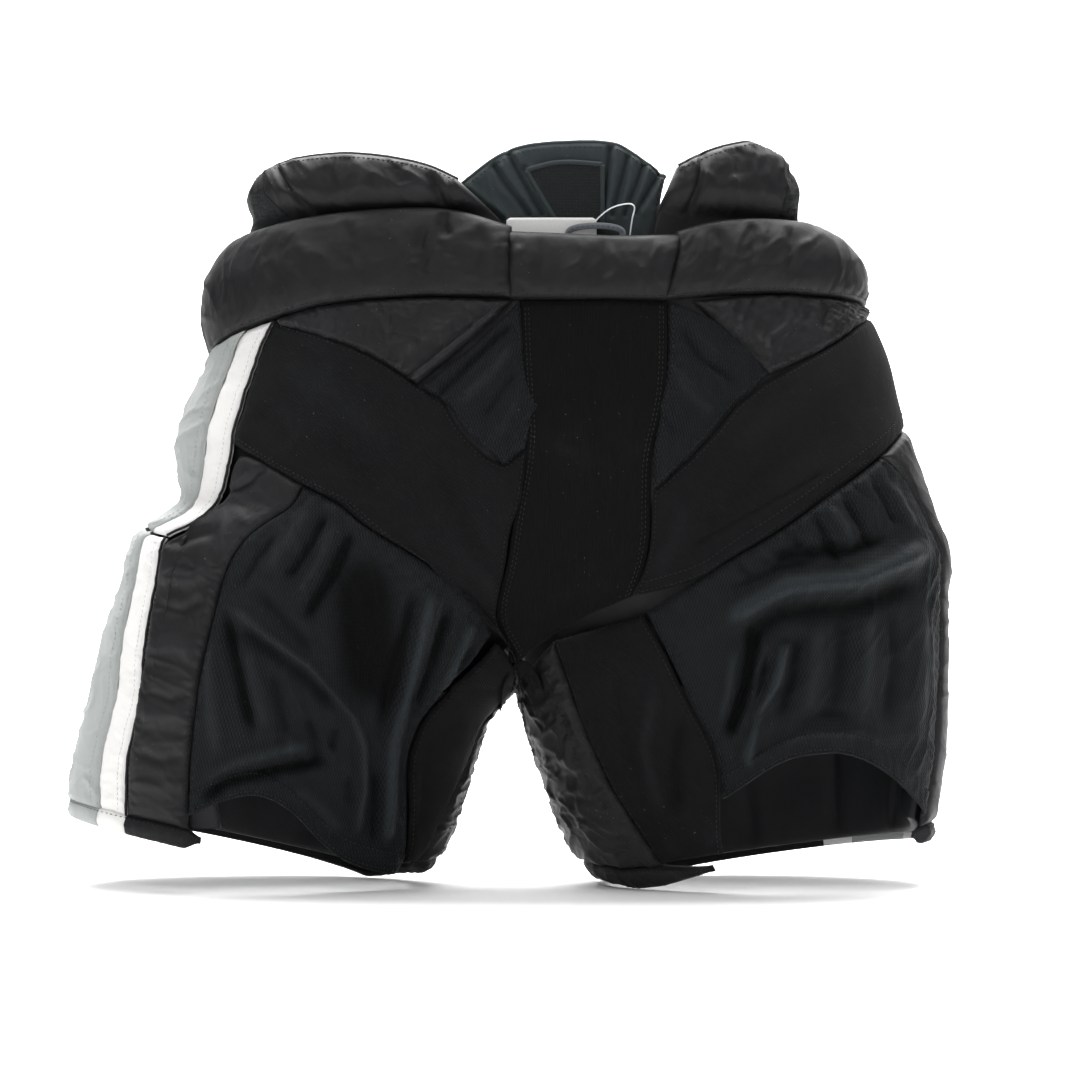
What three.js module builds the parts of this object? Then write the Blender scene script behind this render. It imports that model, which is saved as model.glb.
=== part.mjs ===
// Ice hockey pants: padded shorts with a floating kidney and spine guard, in millimetres.
// +Z is up, +Y is the wearer's front, so the back faces -Y, and -X is the wearer's left.
// The origin is under the middle of the bounding box, on the surface the leg hems stand on.
// The pants are a tube of cloth and pads that divides into two legs. Every piece is a slab cut from
// that tube, so its place is given as [s, z]: z is the height, and s runs round one half of the tube,
// from 1 at the middle of the back through 0 at the outer side to -1 at the middle of the front.
import * as THREE from 'three';

// ---- Driving sizes ----
const CROTCH_Z = 169; // the two legs part below this height
const SEAT_ROUND_Z = 400; // above this height the seat is one round ring
const GAP = 1.2; // every slab stops this far short of its pattern line
const WHITE_STRIPE = 28;
const GREY_STRIPE = 58;
const FLEX_PIVOT = { y: 20, z: 260 }; // the line that the legs flex about
const BELT_WIDTH = 38;
const BELT_Z = 465;

// Depth of each layer below the outer surface, as [outer face, inner face].
const SKIN = [0, -3];
const PLATE = [-5.5, -7.5];
const FOAM = [-9.5, -19];
const BAND = [0, -10];
const HIP_PLATE = [-6, -8];
const HIP_FOAM = [-13, -22];
const TAIL_FOAM = [-5, -15];
const LINER = [-27, -28.5];
const TONGUE = [-12.5, -19];
const SPINE_FOAM = [-30, -41];
const SPINE_PLATE = [-42.5, -44.5];

const MATERIALS = {
  nylon: material(0x17181b, 0.55),
  stretch: material(0x121314, 0.85),
  mesh: material(0x0d1012, 0.6),
  white: material(0xe9e8e6, 0.8),
  grey: material(0x9aa09f, 0.75),
  spine: material(0x1c2a2b, 0.8),
  foam: material(0x2a2b2d, 0.95),
  liner: material(0x15171a, 0.7),
  plate: material(0x303336, 0.4),
  webbing: material(0x101114, 0.8),
  metal: material(0x8d9094, 0.3, 1),
  card: material(0xf4f4f2, 0.7),
  clip: material(0xd8dadb, 0.35),
};

function material(color, roughness, metalness = 0) {
  return new THREE.MeshStandardMaterial({ color, roughness, metalness });
}

// ---- The tube: smooth profiles through [height, size] points ----
function profile(points) {
  const last = points.length - 1;
  const slopes = points.map((point, i) => {
    const before = points[Math.max(i - 1, 0)];
    const after = points[Math.min(i + 1, last)];
    return (after[1] - before[1]) / (after[0] - before[0]);
  });
  return (z) => {
    if (z <= points[0][0]) return points[0][1];
    if (z >= points[last][0]) return points[last][1];
    const i = points.findIndex((point) => point[0] > z) - 1;
    const [z0, v0] = points[i];
    const [z1, v1] = points[i + 1];
    const h = z1 - z0;
    const t = (z - z0) / h;
    const rise = t * t * (3 - 2 * t);
    return v0 + (v1 - v0) * rise + h * t * (1 - t) * ((1 - t) * slopes[i] - t * slopes[i + 1]);
  };
}

const HALVES = {
  left: {
    sign: -1,
    outer: profile([
      [0, -364], [97, -362], [136, -353], [188, -341], [225, -330], [252, -321], [288, -311], [303, -298],
      [321, -271], [343, -271], [372, -274], [400, -266], [443, -247], [499, -245], [528, -236], [622, -205],
    ]),
    inseam: profile([[0, -84], [24, -56], [53, -42], [112, -24], [141, -13], [169, 10]]),
  },
  right: {
    sign: 1,
    outer: profile([
      [0, 355], [56, 361], [122, 370], [240, 371], [278, 373], [308, 362], [359, 344], [403, 331], [443, 320],
      [484, 304], [520, 295], [551, 277], [572, 263], [622, 240],
    ]),
    inseam: profile([[0, 84], [41, 54], [110, 28], [147, 17], [169, 12]]),
  },
};
const centreBack = profile([[169, 11], [200, 30], [240, 51], [303, 64], [369, 73], [486, 75], [622, 60]]);
const centreFront = profile([[169, 11], [240, 5], [303, -5], [369, -10], [486, -14], [622, -14]]);
const depthBack = profile([[0, 84], [100, 94], [200, 108], [300, 118], [400, 118], [486, 104], [540, 98], [622, 94]]);
const depthFront = profile([[0, 90], [100, 104], [200, 112], [300, 110], [400, 100], [486, 94], [622, 88]]);

// How far round its ellipse one half runs: a whole half turn on a leg, a quarter turn at the waist.
function sweep(z) {
  if (z <= CROTCH_Z) return Math.PI;
  const up = Math.min((z - CROTCH_Z) / (SEAT_ROUND_Z - CROTCH_Z), 1);
  return Math.PI - Math.asin(Math.sqrt(1 - (1 - up) ** 2));
}

function smooth(t) {
  const c = THREE.MathUtils.clamp(t, 0, 1);
  return c * c * (3 - 2 * c);
}

function ellipseOf(half, back, z) {
  const { outer, inseam, sign } = HALVES[half];
  const centre = back ? centreBack(z) : centreFront(z);
  const inner = z < CROTCH_Z ? inseam(z) : centre;
  const edge = outer(z);
  return { edge, sign, radius: Math.abs(inner - edge) / (1 - Math.cos(sweep(z))) };
}

// The outer surface at [s, z]. On a leg s may pass 1, which carries on round to the front.
function surface(half, s, z) {
  const turned = s > 1 ? s - 2 : s;
  const back = turned >= 0;
  const { edge, sign, radius } = ellipseOf(half, back, z);
  const full = sweep(z);
  const angle = Math.abs(turned) * full;
  const depth = back ? depthBack(z) : depthFront(z);
  const flat = smooth((Math.abs(turned) - 0.7) / 0.3) * smooth((z - CROTCH_Z) / 60);
  const bulge = depth * THREE.MathUtils.lerp(Math.sin(angle), Math.sin(full), flat);
  return new THREE.Vector3(edge - sign * radius * (1 - Math.cos(angle)), back ? -bulge : bulge, z);
}

// s of the point of one half that lies at x, on the back or on the front.
function roundTo(half, back, x, z) {
  const { edge, radius } = ellipseOf(half, back, z);
  const cosine = THREE.MathUtils.clamp(1 - Math.abs(x - edge) / radius, -1, 1);
  const s = Math.min(Math.acos(cosine) / sweep(z), 1);
  return back ? s : -s;
}

const onBack = (half, points) => points.map(([x, z]) => [roundTo(half, true, x, z), z]);
const onFront = (half, points) => points.map(([x, z]) => [roundTo(half, false, x, z), z]);

// The back or front seen flat, for pieces that cross the middle.
function facing(back, x, z) {
  const centre = back ? centreBack(z) : centreFront(z);
  const half = x < centre ? 'left' : 'right';
  return surface(half, roundTo(half, back, x, z), z);
}

// s after going a real distance towards the front along the tube at height z.
function alongRing(half, s, z, distance) {
  const step = 0.01;
  let left = distance;
  let at = s;
  let point = surface(half, at, z);
  while (left > 0 && at > -1) {
    const next = surface(half, at - step, z);
    const length = next.distanceTo(point);
    at -= step * Math.min(1, left / length);
    left -= length;
    point = next;
  }
  return at;
}

// ---- Slabs ----
// A point a share t along a line of points.
function along(line, t) {
  const span = (i) => Math.hypot((line[i + 1][0] - line[i][0]) * line.scale, line[i + 1][1] - line[i][1]);
  const lengths = line.slice(1).map((_, i) => span(i));
  let left = t * lengths.reduce((sum, value) => sum + value, 0);
  for (let i = 0; i < lengths.length; i += 1) {
    if (left <= lengths[i] || i === lengths.length - 1) {
      const share = Math.min(left / lengths[i], 1);
      return [0, 1].map((k) => line[i][k] + (line[i + 1][k] - line[i][k]) * share);
    }
    left -= lengths[i];
  }
  return line[0];
}

// The same line with evenly spaced points.
function dense(line, count = 8) {
  const source = Object.assign([...line], { scale: 250 });
  return Array.from({ length: count + 1 }, (_, i) => along(source, i / count));
}

// Height of a line at s.
function heightAt(line, s) {
  const i = line.findIndex((point, k) => k > 0 && (point[0] - s) * (line[k - 1][0] - s) <= 0);
  if (i < 0) return Math.abs(line[0][0] - s) < Math.abs(line.at(-1)[0] - s) ? line[0][1] : line.at(-1)[1];
  const [a, b] = [line[i - 1], line[i]];
  return a[1] + (b[1] - a[1]) * ((s - a[0]) / (b[0] - a[0] || 1));
}

// A pattern piece between four edges. Left and right run upwards, bottom and top run left to right.
function pattern({ left, right, bottom, top }, scale = 250) {
  const line = (points) => Object.assign(points.map((point) => [...point]), { scale });
  const low = line(bottom ?? [left[0], right[0]]);
  const high = line(top ?? [left.at(-1), right.at(-1)]);
  const start = line(left);
  const end = line(right);
  const corners = [left[0], right[0], left.at(-1), right.at(-1)];
  return (u, t) => [0, 1].map((k) => {
    const ruled = (1 - t) * along(low, u)[k] + t * along(high, u)[k]
      + (1 - u) * along(start, t)[k] + u * along(end, t)[k];
    return ruled - (1 - t) * ((1 - u) * corners[0][k] + u * corners[1][k])
      - t * ((1 - u) * corners[2][k] + u * corners[3][k]);
  });
}

// A closed slab over place(u, t), between two depths. A depth may be a function of (u, t).
function slab(place, [outer, inner], across, up, gap = GAP) {
  const spread = (spot) => [0, 0.25, 0.5, 0.75].reduce((sum, v) => sum + spot(v).distanceTo(spot(v + 0.25)), 0);
  const trim = (spot) => Math.min(gap / spread(spot), 0.2);
  const depthAt = (depth, u, t) => (typeof depth === 'function' ? depth(u, t) : depth);
  const outward = (u, t) => {
    const h = 0.01;
    const [u0, u1, t0, t1] = [u - h, u + h, t - h, t + h].map((v) => THREE.MathUtils.clamp(v, 0, 1));
    const normal = place(u1, t).sub(place(u0, t)).cross(place(u, t1).sub(place(u, t0))).normalize();
    const point = place(u, t);
    const core = new THREE.Vector3(coreX(point), 0, point.z);
    return normal.dot(point.clone().sub(core)) < 0 ? normal.negate() : normal;
  };
  const positions = [];
  for (const depth of [outer, inner]) {
    for (let j = 0; j <= up; j += 1) {
      for (let i = 0; i <= across; i += 1) {
        const trimU = trim((v) => place(v, j / up));
        const trimT = trim((v) => place(i / across, v));
        const u = trimU + (1 - 2 * trimU) * (i / across);
        const t = trimT + (1 - 2 * trimT) * (j / up);
        positions.push(...place(u, t).addScaledVector(outward(u, t), depthAt(depth, u, t)));
      }
    }
  }
  const layer = (across + 1) * (up + 1);
  const at = (i, j, k) => k * layer + j * (across + 1) + i;
  const faces = [];
  const quad = (a, b, c, d) => faces.push(a, b, c, a, c, d);
  for (let j = 0; j < up; j += 1) {
    for (let i = 0; i < across; i += 1) {
      quad(at(i, j, 0), at(i + 1, j, 0), at(i + 1, j + 1, 0), at(i, j + 1, 0));
      quad(at(i, j, 1), at(i, j + 1, 1), at(i + 1, j + 1, 1), at(i + 1, j, 1));
    }
  }
  for (let i = 0; i < across; i += 1) {
    quad(at(i, 0, 0), at(i, 0, 1), at(i + 1, 0, 1), at(i + 1, 0, 0));
    quad(at(i, up, 0), at(i + 1, up, 0), at(i + 1, up, 1), at(i, up, 1));
  }
  for (let j = 0; j < up; j += 1) {
    quad(at(0, j, 0), at(0, j + 1, 0), at(0, j + 1, 1), at(0, j, 1));
    quad(at(across, j, 0), at(across, j, 1), at(across, j + 1, 1), at(across, j + 1, 0));
  }
  return closed(positions, faces);
}

// x of the middle of the tube, or of the leg that a point is on.
function coreX({ x, z }) {
  const [left, right] = [HALVES.left, HALVES.right];
  if (z >= CROTCH_Z) {
    const leg = x < centreBack(z) ? left : right;
    const share = smooth((z - CROTCH_Z) / 120);
    const legCore = (leg.outer(z) + centreBack(z)) / 2;
    return THREE.MathUtils.lerp(legCore, (left.outer(z) + right.outer(z)) / 2, share);
  }
  const leg = x < 11 ? left : right;
  return (leg.outer(z) + leg.inseam(z)) / 2;
}

// A geometry from shared corners, turned so that its faces point out.
function closed(positions, faces) {
  const corner = (i) => new THREE.Vector3().fromArray(positions, faces[i] * 3);
  let volume = 0;
  for (let i = 0; i < faces.length; i += 3) volume += corner(i).dot(corner(i + 1).cross(corner(i + 2)));
  if (volume < 0) faces.reverse();
  const geometry = new THREE.BufferGeometry();
  geometry.setAttribute('position', new THREE.Float32BufferAttribute(positions, 3));
  geometry.setIndex(faces);
  return geometry;
}

const onHalf = (half, edges) => {
  const spot = pattern(edges);
  return (u, t) => surface(half, ...spot(u, t));
};
const acrossBack = (edges) => {
  const spot = pattern(edges, 1);
  return (u, t) => facing(true, ...spot(u, t));
};
const acrossFront = (edges) => {
  const spot = pattern(edges, 1);
  return (u, t) => facing(false, ...spot(u, t));
};

// ---- Parts ----
const pants = new THREE.Group();
function add(name, geometry, finish) {
  const mesh = new THREE.Mesh(geometry, MATERIALS[finish]);
  mesh.name = name;
  pants.add(mesh);
  return mesh;
}

// Bottom of each leg: the hem climbs from the inside of the leg to the outside.
const HEM_SLOPE = { left: 0.205, right: 0.135 };
const HEM_INNER_X = { left: -84, right: 86 };
const HEM_HEIGHT = 17;
function hemZ(half, s) {
  const x = surface(half, s, 40).x;
  return 1 + HEM_SLOPE[half] * Math.abs(x - HEM_INNER_X[half]);
}
const hemLine = (half, from, to, steps, lift) => Array.from({ length: steps + 1 }, (_, i) => {
  const s = from + (to - from) * (i / steps);
  return [s, hemZ(half, s) + lift];
});

// Rear edge of the side stripes, from the hem to the fold at the hip, and from the fold to the waistband.
const STRIPE_REAR = {
  left: {
    thigh: dense(onBack('left', [[-310, 64], [-304, 136], [-296, 188], [-291, 234], [-285, 270], [-282, 288]])),
    hip: dense(onBack('left', [[-281, 291], [-252, 306], [-241, 319], [-230, 338], [-221, 371], [-205, 444], [-190, 471]]), 10),
  },
  right: {
    thigh: dense([[-0.05, 54], [-0.05, 298]]),
    hip: dense([[-0.06, 302], [-0.06, 380], [-0.07, 484]], 10),
  },
};
const STRIPES_WIDTH = 2 * WHITE_STRIPE + GREY_STRIPE;
// A white panel runs the whole width, and the grey stripe is sewn on the middle of it.
const STRIPES = {
  white: { span: [0, STRIPES_WIDTH], depth: [-3, -4.2] },
  grey: { span: [WHITE_STRIPE, WHITE_STRIPE + GREY_STRIPE], depth: [0, -1.2] },
};
const shifted = (half, line, distance) => line.map(([s, z]) => [alongRing(half, s, z, distance), z]);
const stripeFront = (half, z) => {
  const rear = STRIPE_REAR[half][z < 300 ? 'thigh' : 'hip'];
  const spot = along(Object.assign([...rear], { scale: 1 }), (z - rear[0][1]) / (rear.at(-1)[1] - rear[0][1]));
  return alongRing(half, spot[0], z, STRIPES_WIDTH);
};

// The back panels of each half, as their outlines look from behind.
const BACK = {
  left: {
    flexLow: [[-221, 371], [-164, 337], [-128, 318], [-92, 292], [-40, 258], [-8, 218], [10, 186]],
    flexHigh: [[-190, 472], [-136, 454], [-101, 438], [-70, 416], [-33, 374], [0, 345], [19, 364]],
    flexSeat: [[10, 186], [-7, 219], [-5, 242], [3, 270], [7, 303], [19, 364]],
    seatMesh: {
      left: [[3, 351], [-31, 378], [-66, 416]], right: [[18, 368], [15, 415], [13, 483]],
      top: [[-66, 416], [13, 483]],
    },
    yoke: {
      left: [[-185, 470], [-185, 473]], right: [[-71, 419], [7, 485]],
      bottom: [[-185, 470], [-136, 455], [-101, 439], [-71, 419]], top: [[-185, 473], [-147, 484], [-62, 489], [7, 485]],
    },
    outerPanelInner: [[-258, 64], [-257, 102], [-251, 154], [-244, 202], [-236, 235], [-230, 263], [-193, 307], [-164, 337]],
    hamstring: {
      left: [[-257, 66], [-257, 102], [-251, 154], [-244, 202], [-236, 235], [-230, 263], [-193, 307], [-164, 336]],
      right: [[-88, 16], [-79, 71], [-80, 107], [-69, 139], [-36, 176], [-10, 213]],
      bottom: [[-257, 66], [-227, 80], [-198, 86], [-170, 70], [-150, 44], [-126, 24], [-88, 16]],
      top: [[-164, 336], [-128, 316], [-92, 290], [-40, 255], [-10, 213]],
    },
    innerStretch: {
      left: [[-84, 22], [-76, 71], [-77, 107], [-66, 138], [-32, 173], [-5, 203]],
      right: [[-70, 22], [-46, 71], [-28, 107], [-18, 139], [4, 160], [7, 180]],
    },
  },
  right: {
    seatMesh: {
      left: [[123, 335], [123, 364], [131, 395], [135, 423], [136, 483]],
      right: [[127, 336], [156, 363], [189, 401], [217, 427]],
      bottom: [[123, 335], [127, 336]], top: [[136, 483], [166, 475], [194, 454], [217, 427]],
    },
    hamstring: {
      left: [[180, 80], [179, 102], [173, 123], [152, 161], [135, 197], [117, 232]],
      right: [[350, 62], [355, 87], [360, 145], [364, 207], [364, 268], [350, 311], [329, 349], [312, 360]],
      bottom: [[180, 80], [194, 90], [228, 113], [256, 118], [279, 118], [304, 108], [334, 82], [350, 62]],
      top: [[117, 232], [157, 255], [185, 275], [232, 302], [268, 328], [312, 360]],
    },
    innerStretch: {
      left: [[130, 24], [117, 45], [100, 69], [86, 92], [66, 137], [54, 171], [43, 205]],
      right: [[180, 34], [178, 78], [177, 102], [171, 123], [150, 160], [133, 196], [114, 226]],
      bottom: [[130, 24], [180, 34]], top: [[43, 205], [69, 214], [114, 226]],
    },
  },
};
const SEAT_PANEL = {
  left: [[14, 192], [-5, 219], [-3, 242], [5, 270], [9, 303], [21, 366], [18, 415], [15, 485]],
  right: [[104, 244], [113, 264], [119, 292], [119, 329], [120, 362], [129, 395], [133, 423], [134, 485]],
  bottom: [[14, 192], [40, 213], [69, 230], [104, 244]],
};

function buildSeat() {
  add('seat_panel', slab(acrossBack(SEAT_PANEL), SKIN, 8, 10), 'stretch');
  for (const half of ['left', 'right']) {
    const mesh = BACK[half].seatMesh;
    const edges = Object.fromEntries(Object.entries(mesh).map(([key, line]) => [key, onBack(half, line)]));
    add(`seat_mesh_${half}`, slab(onHalf(half, edges), SKIN, 4, 5, 1.6), 'mesh');
  }
  const { flexLow, flexHigh, flexSeat, yoke } = BACK.left;
  add('flex_band_left', slab(onHalf('left', {
    left: onBack('left', [[-221, 371], [-205, 444], [-190, 472]]), right: onBack('left', flexSeat),
    bottom: onBack('left', flexLow), top: onBack('left', flexHigh),
  }), SKIN, 12, 6, 1.6), 'stretch');
  const yokeEdges = Object.fromEntries(Object.entries(yoke).map(([key, line]) => [key, onBack('left', line)]));
  add('yoke_left', slab(onHalf('left', yokeEdges), SKIN, 6, 3, 1.6), 'nylon');
  const outer = [[-0.06, 388], [-0.06, 478]];
  add('flex_band_right', slab(onHalf('right', {
    left: onBack('right', [[106, 244], [115, 264], [121, 292], [121, 328]]), right: outer,
    bottom: [...onBack('right', [[106, 244], [157, 257], [185, 277], [232, 304], [268, 330], [304, 356], [330, 380]]), outer[0]],
    top: [...onBack('right', [[121, 328], [158, 360], [191, 398], [220, 424], [286, 464], [304, 474]]), outer[1]],
  }), SKIN, 12, 6, 1.6), 'stretch');
  add('yoke_right', slab(onHalf('right', {
    left: onBack('right', [[219, 427], [158, 485]]), right: [[-0.06, 480], [-0.06, 486]],
    bottom: [...onBack('right', [[219, 427], [286, 465], [304, 475]]), [-0.06, 480]],
    top: [...onBack('right', [[158, 485], [216, 492], [255, 491]]), [0, 487], [-0.06, 486]],
  }), SKIN, 6, 3, 1.6), 'nylon');
  add('tailbone_pad', slab(acrossBack({
    left: [[50, 300], [24, 400], [24, 478]], right: [[92, 300], [122, 400], [122, 478]],
  }), TAIL_FOAM, 5, 5), 'foam');
}

// ---- Waistband, liner and hip pads ----
const BAND_LOW = {
  left: [[-0.93, 432], [-0.6, 425], [-0.3, 425], [0, 444], ...onBack('left', [[-189, 474], [-147, 485], [-62, 491], [3, 488]])],
  right: [...onBack('right', [[137, 486], [157, 489], [216, 494], [255, 493]]), [0, 488], [-0.3, 470], [-0.6, 450], [-0.93, 432]],
};
const BAND_HIGH = {
  left: [[-0.93, 497], [-0.6, 490], [-0.3, 494], [0, 515], ...onBack('left', [[-191, 553], [-120, 563], [-43, 564], [0, 547]])],
  right: [...onBack('right', [[149, 543], [168, 553], [226, 558], [262, 553]]), [0, 530], [-0.3, 516], [-0.6, 505], [-0.93, 497]],
};
const bandFoot = (half, s) => heightAt(BAND_LOW[half], s) - 7;
function buildWaist() {
  for (const half of ['left', 'right']) {
    const [low, high] = [BAND_LOW[half], BAND_HIGH[half]];
    add(`waistband_${half}`, slab(onHalf(half, {
      left: [low[0], high[0]], right: [low.at(-1), high.at(-1)], bottom: low, top: high,
    }), BAND, 22, 2), 'nylon');
  }
  add('waistband_centre', slab(acrossBack({
    left: [[5, 487], [3, 543]], right: [[135, 486], [147, 541]],
    top: [[3, 543], [52, 541], [103, 539], [147, 541]],
  }), BAND, 8, 2), 'nylon');
  for (const half of ['left', 'right']) {
    const rear = half === 'left' ? 0.5 : 0.45;
    const top = 490;
    const edges = (low, high, front, back) => ({
      left: [[front, low], [front, high - 14]], right: [[back, low], [back, high]],
      top: [[front, high - 14], [0, high], [back, high]],
    });
    add(`hip_pad_${half}`, slab(onHalf(half, edges(352, top, -0.5, rear)), HIP_FOAM, 16, 3), 'foam');
    const plateTop = half === 'left' ? 432 : 462;
    add(`hip_plate_${half}`, slab(onHalf(half, edges(356, plateTop, -0.3, 0.3)), HIP_PLATE, 10, 2), 'plate');
  }
  const round = pattern({ left: [[-1.92, 385], [-1.92, 486]], right: [[1.92, 385], [1.92, 486]] });
  const lining = (u, t) => {
    const [r, z] = round(u, t);
    return surface(r < 0 ? 'left' : 'right', 1 - Math.abs(r), z);
  };
  add('waist_liner', slab(lining, LINER, 40, 2), 'liner');
}

// ---- Side stripes ----
function buildStripes(half) {
  const { hip, thigh } = STRIPE_REAR[half];
  for (const [colour, { span, depth }] of Object.entries(STRIPES)) {
    const strip = (line, low, high) => {
      const edge = (distance) => {
        const all = shifted(half, line, distance);
        const [foot, head] = [low(all[0][0]), high(all.at(-1)[0])];
        const between = all.filter(([, z]) => z > foot + 4 && z < head - 4);
        return [[all[0][0], foot], ...between, [all.at(-1)[0], head]];
      };
      const [left, right] = [edge(span[1]), edge(span[0])];
      const across = (from, to, height) => Array.from({ length: 7 }, (_, i) => {
        const s = from + ((to - from) * i) / 6;
        return [s, height(s)];
      });
      const bottom = across(left[0][0], right[0][0], low);
      const top = across(left.at(-1)[0], right.at(-1)[0], high);
      return slab(onHalf(half, { left, right, bottom, top }), depth, 8, 13);
    };
    const fold = (s) => (s > 0 ? 291 + 12 * (1 - Math.min(s / 0.3, 1)) : 303);
    add(`hip_stripe_${colour}_${half}`, strip(hip, (s) => fold(s) + 3, (s) => bandFoot(half, s)), colour);
    add(`thigh_stripe_${colour}_${half}`, strip(
      thigh, (s) => hemZ(half, s) + HEM_HEIGHT + 1, (s) => fold(s) - 2), colour);
  }
}

// ---- Front of the hips, fly and belt ----
const FLY = { left: -30, right: 2, bottom: 336 };
function buildFront() {
  const inner = {
    left: [[-42, 242], [-50, 300], [-32, 336], [FLY.left, 430]],
    right: [[38, 242], [30, 300], [4, 336], [FLY.right, 430]],
  };
  for (const half of ['left', 'right']) {
    const centre = onFront(half, inner[half]);
    const stripeEdge = (heights) => heights.map((z) => [stripeFront(half, z) - 0.036, z]);
    const outer = stripeEdge(half === 'left' ? [388, 400, 412, 422] : [388, 405, 425, 445, 462]);
    outer.at(-1)[1] = bandFoot(half, outer.at(-1)[0]) + 1;
    const top = [0, 1, 2, 3, 4, 5].map((i) => {
      const s = outer.at(-1)[0] + (centre.at(-1)[0] - outer.at(-1)[0]) * (i / 5);
      return [s, Math.max(bandFoot(half, s) + 1, 424)];
    });
    centre.at(-1)[1] = top.at(-1)[1];
    add(`front_panel_${half}`, slab(onHalf(half, {
      left: outer, right: centre, top, bottom: [outer[0], centre[0]],
    }), SKIN, 8, 5), 'nylon');
    const side = stripeEdge([306, 325, 345, 365, 385]);
    const thighTop = [side[0], [-0.62, 222], [-0.85, 158], [-0.94, 170]];
    const flexTop = onFront(half, half === 'left' ? [[-43, 239]] : [[39, 239]])[0];
    add(`front_flex_${half}`, slab(onHalf(half, {
      left: side, right: [thighTop.at(-1), flexTop], bottom: thighTop, top: [side.at(-1), flexTop],
    }), SKIN, 10, 4, 1.6), 'stretch');
  }
  add('crotch_gusset', slab(acrossFront({
    left: [[2, 182], [-39, 240], [-46, 300], [-29, 333]], right: [[20, 182], [35, 240], [27, 300], [1, 333]],
  }), SKIN, 4, 6, 1.6), 'stretch');
  add('fly_tongue', slab(acrossFront({ left: [[-52, 330], [-52, 492]], right: [[24, 330], [24, 492]] }), TONGUE, 4, 4), 'nylon');
  add('belt', slab(acrossFront({
    left: [[-150, BELT_Z - 19], [-150, BELT_Z + 19]], right: [[118, BELT_Z - 19], [118, BELT_Z + 19]],
  }), [(u) => beltLift(u) + 2, (u) => beltLift(u)], 16, 1, 0), 'webbing');
  buildFacing();
  buildBuckle();
}
// The belt lies on the waistband at its ends and on the buckle's plate in the middle.
const beltLift = (u) => 1.2 + 3.3 * smooth(1 - Math.abs(u - 0.5) * 3);

// A facing round the fly, with eyelets down both sides.
const FACING = { width: 24, top: 420, low: 338, foot: 10, lift: 1.5, thick: 1.6, eyelet: 3, rows: [362, 385, 408] };
function buildFacing() {
  const [left, right] = [FLY.left - FACING.width, FLY.right + FACING.width];
  const outline = [
    [left, FACING.low], [right, FACING.low], [right, FACING.top], [FLY.right, FACING.top],
    [FLY.right, FACING.low + FACING.foot], [FLY.left, FACING.low + FACING.foot], [FLY.left, FACING.top], [left, FACING.top],
  ];
  const holes = FACING.rows.flatMap((z) => [left, right - 0].map((x, side) => circle(
    FACING.eyelet, 12, x + (side ? -1 : 1) * (FACING.width / 2), z)));
  const plate = extruded(outline, FACING.thick, holes.map((hole) => hole.reverse()));
  const at = plate.attributes.position.array;
  for (let i = 0; i < at.length; i += 3) {
    const [x, z, out] = at.slice(i, i + 3);
    at.set([x, facing(false, x, z).y + FACING.lift + out, z], i);
  }
  add('fly_facing', closed([...at], [...plate.index.array]), 'nylon');
}

function circle(radius, sides, x = 0, y = 0) {
  return Array.from({ length: sides }, (_, i) => {
    const turn = (i / sides) * 2 * Math.PI;
    return [x + radius * Math.cos(turn), y + radius * Math.sin(turn)];
  });
}

// Joins the corners that a three.js geometry repeats.
function welded(geometry) {
  const source = geometry.attributes.position;
  const index = geometry.index ? Array.from(geometry.index.array) : Array.from({ length: source.count }, (_, i) => i);
  const seen = new Map();
  const positions = [];
  const faces = [];
  const corner = index.map((i) => {
    const point = [source.getX(i), source.getY(i), source.getZ(i)];
    const key = point.map((v) => Math.round(v * 1e4)).join();
    if (!seen.has(key)) {
      seen.set(key, positions.length / 3);
      positions.push(...point);
    }
    return seen.get(key);
  });
  for (let i = 0; i < corner.length; i += 3) {
    const [a, b, c] = corner.slice(i, i + 3);
    if (a !== b && b !== c && a !== c) faces.push(a, b, c);
  }
  return closed(positions, faces);
}

function extruded(outline, depth, holes = []) {
  const shape = new THREE.Shape(outline.map(([x, y]) => new THREE.Vector2(x, y)));
  for (const hole of holes) shape.holes.push(new THREE.Path(hole.map(([x, y]) => new THREE.Vector2(x, y))));
  return welded(new THREE.ExtrudeGeometry(shape, { depth, bevelEnabled: false, curveSegments: 8 }));
}

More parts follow.
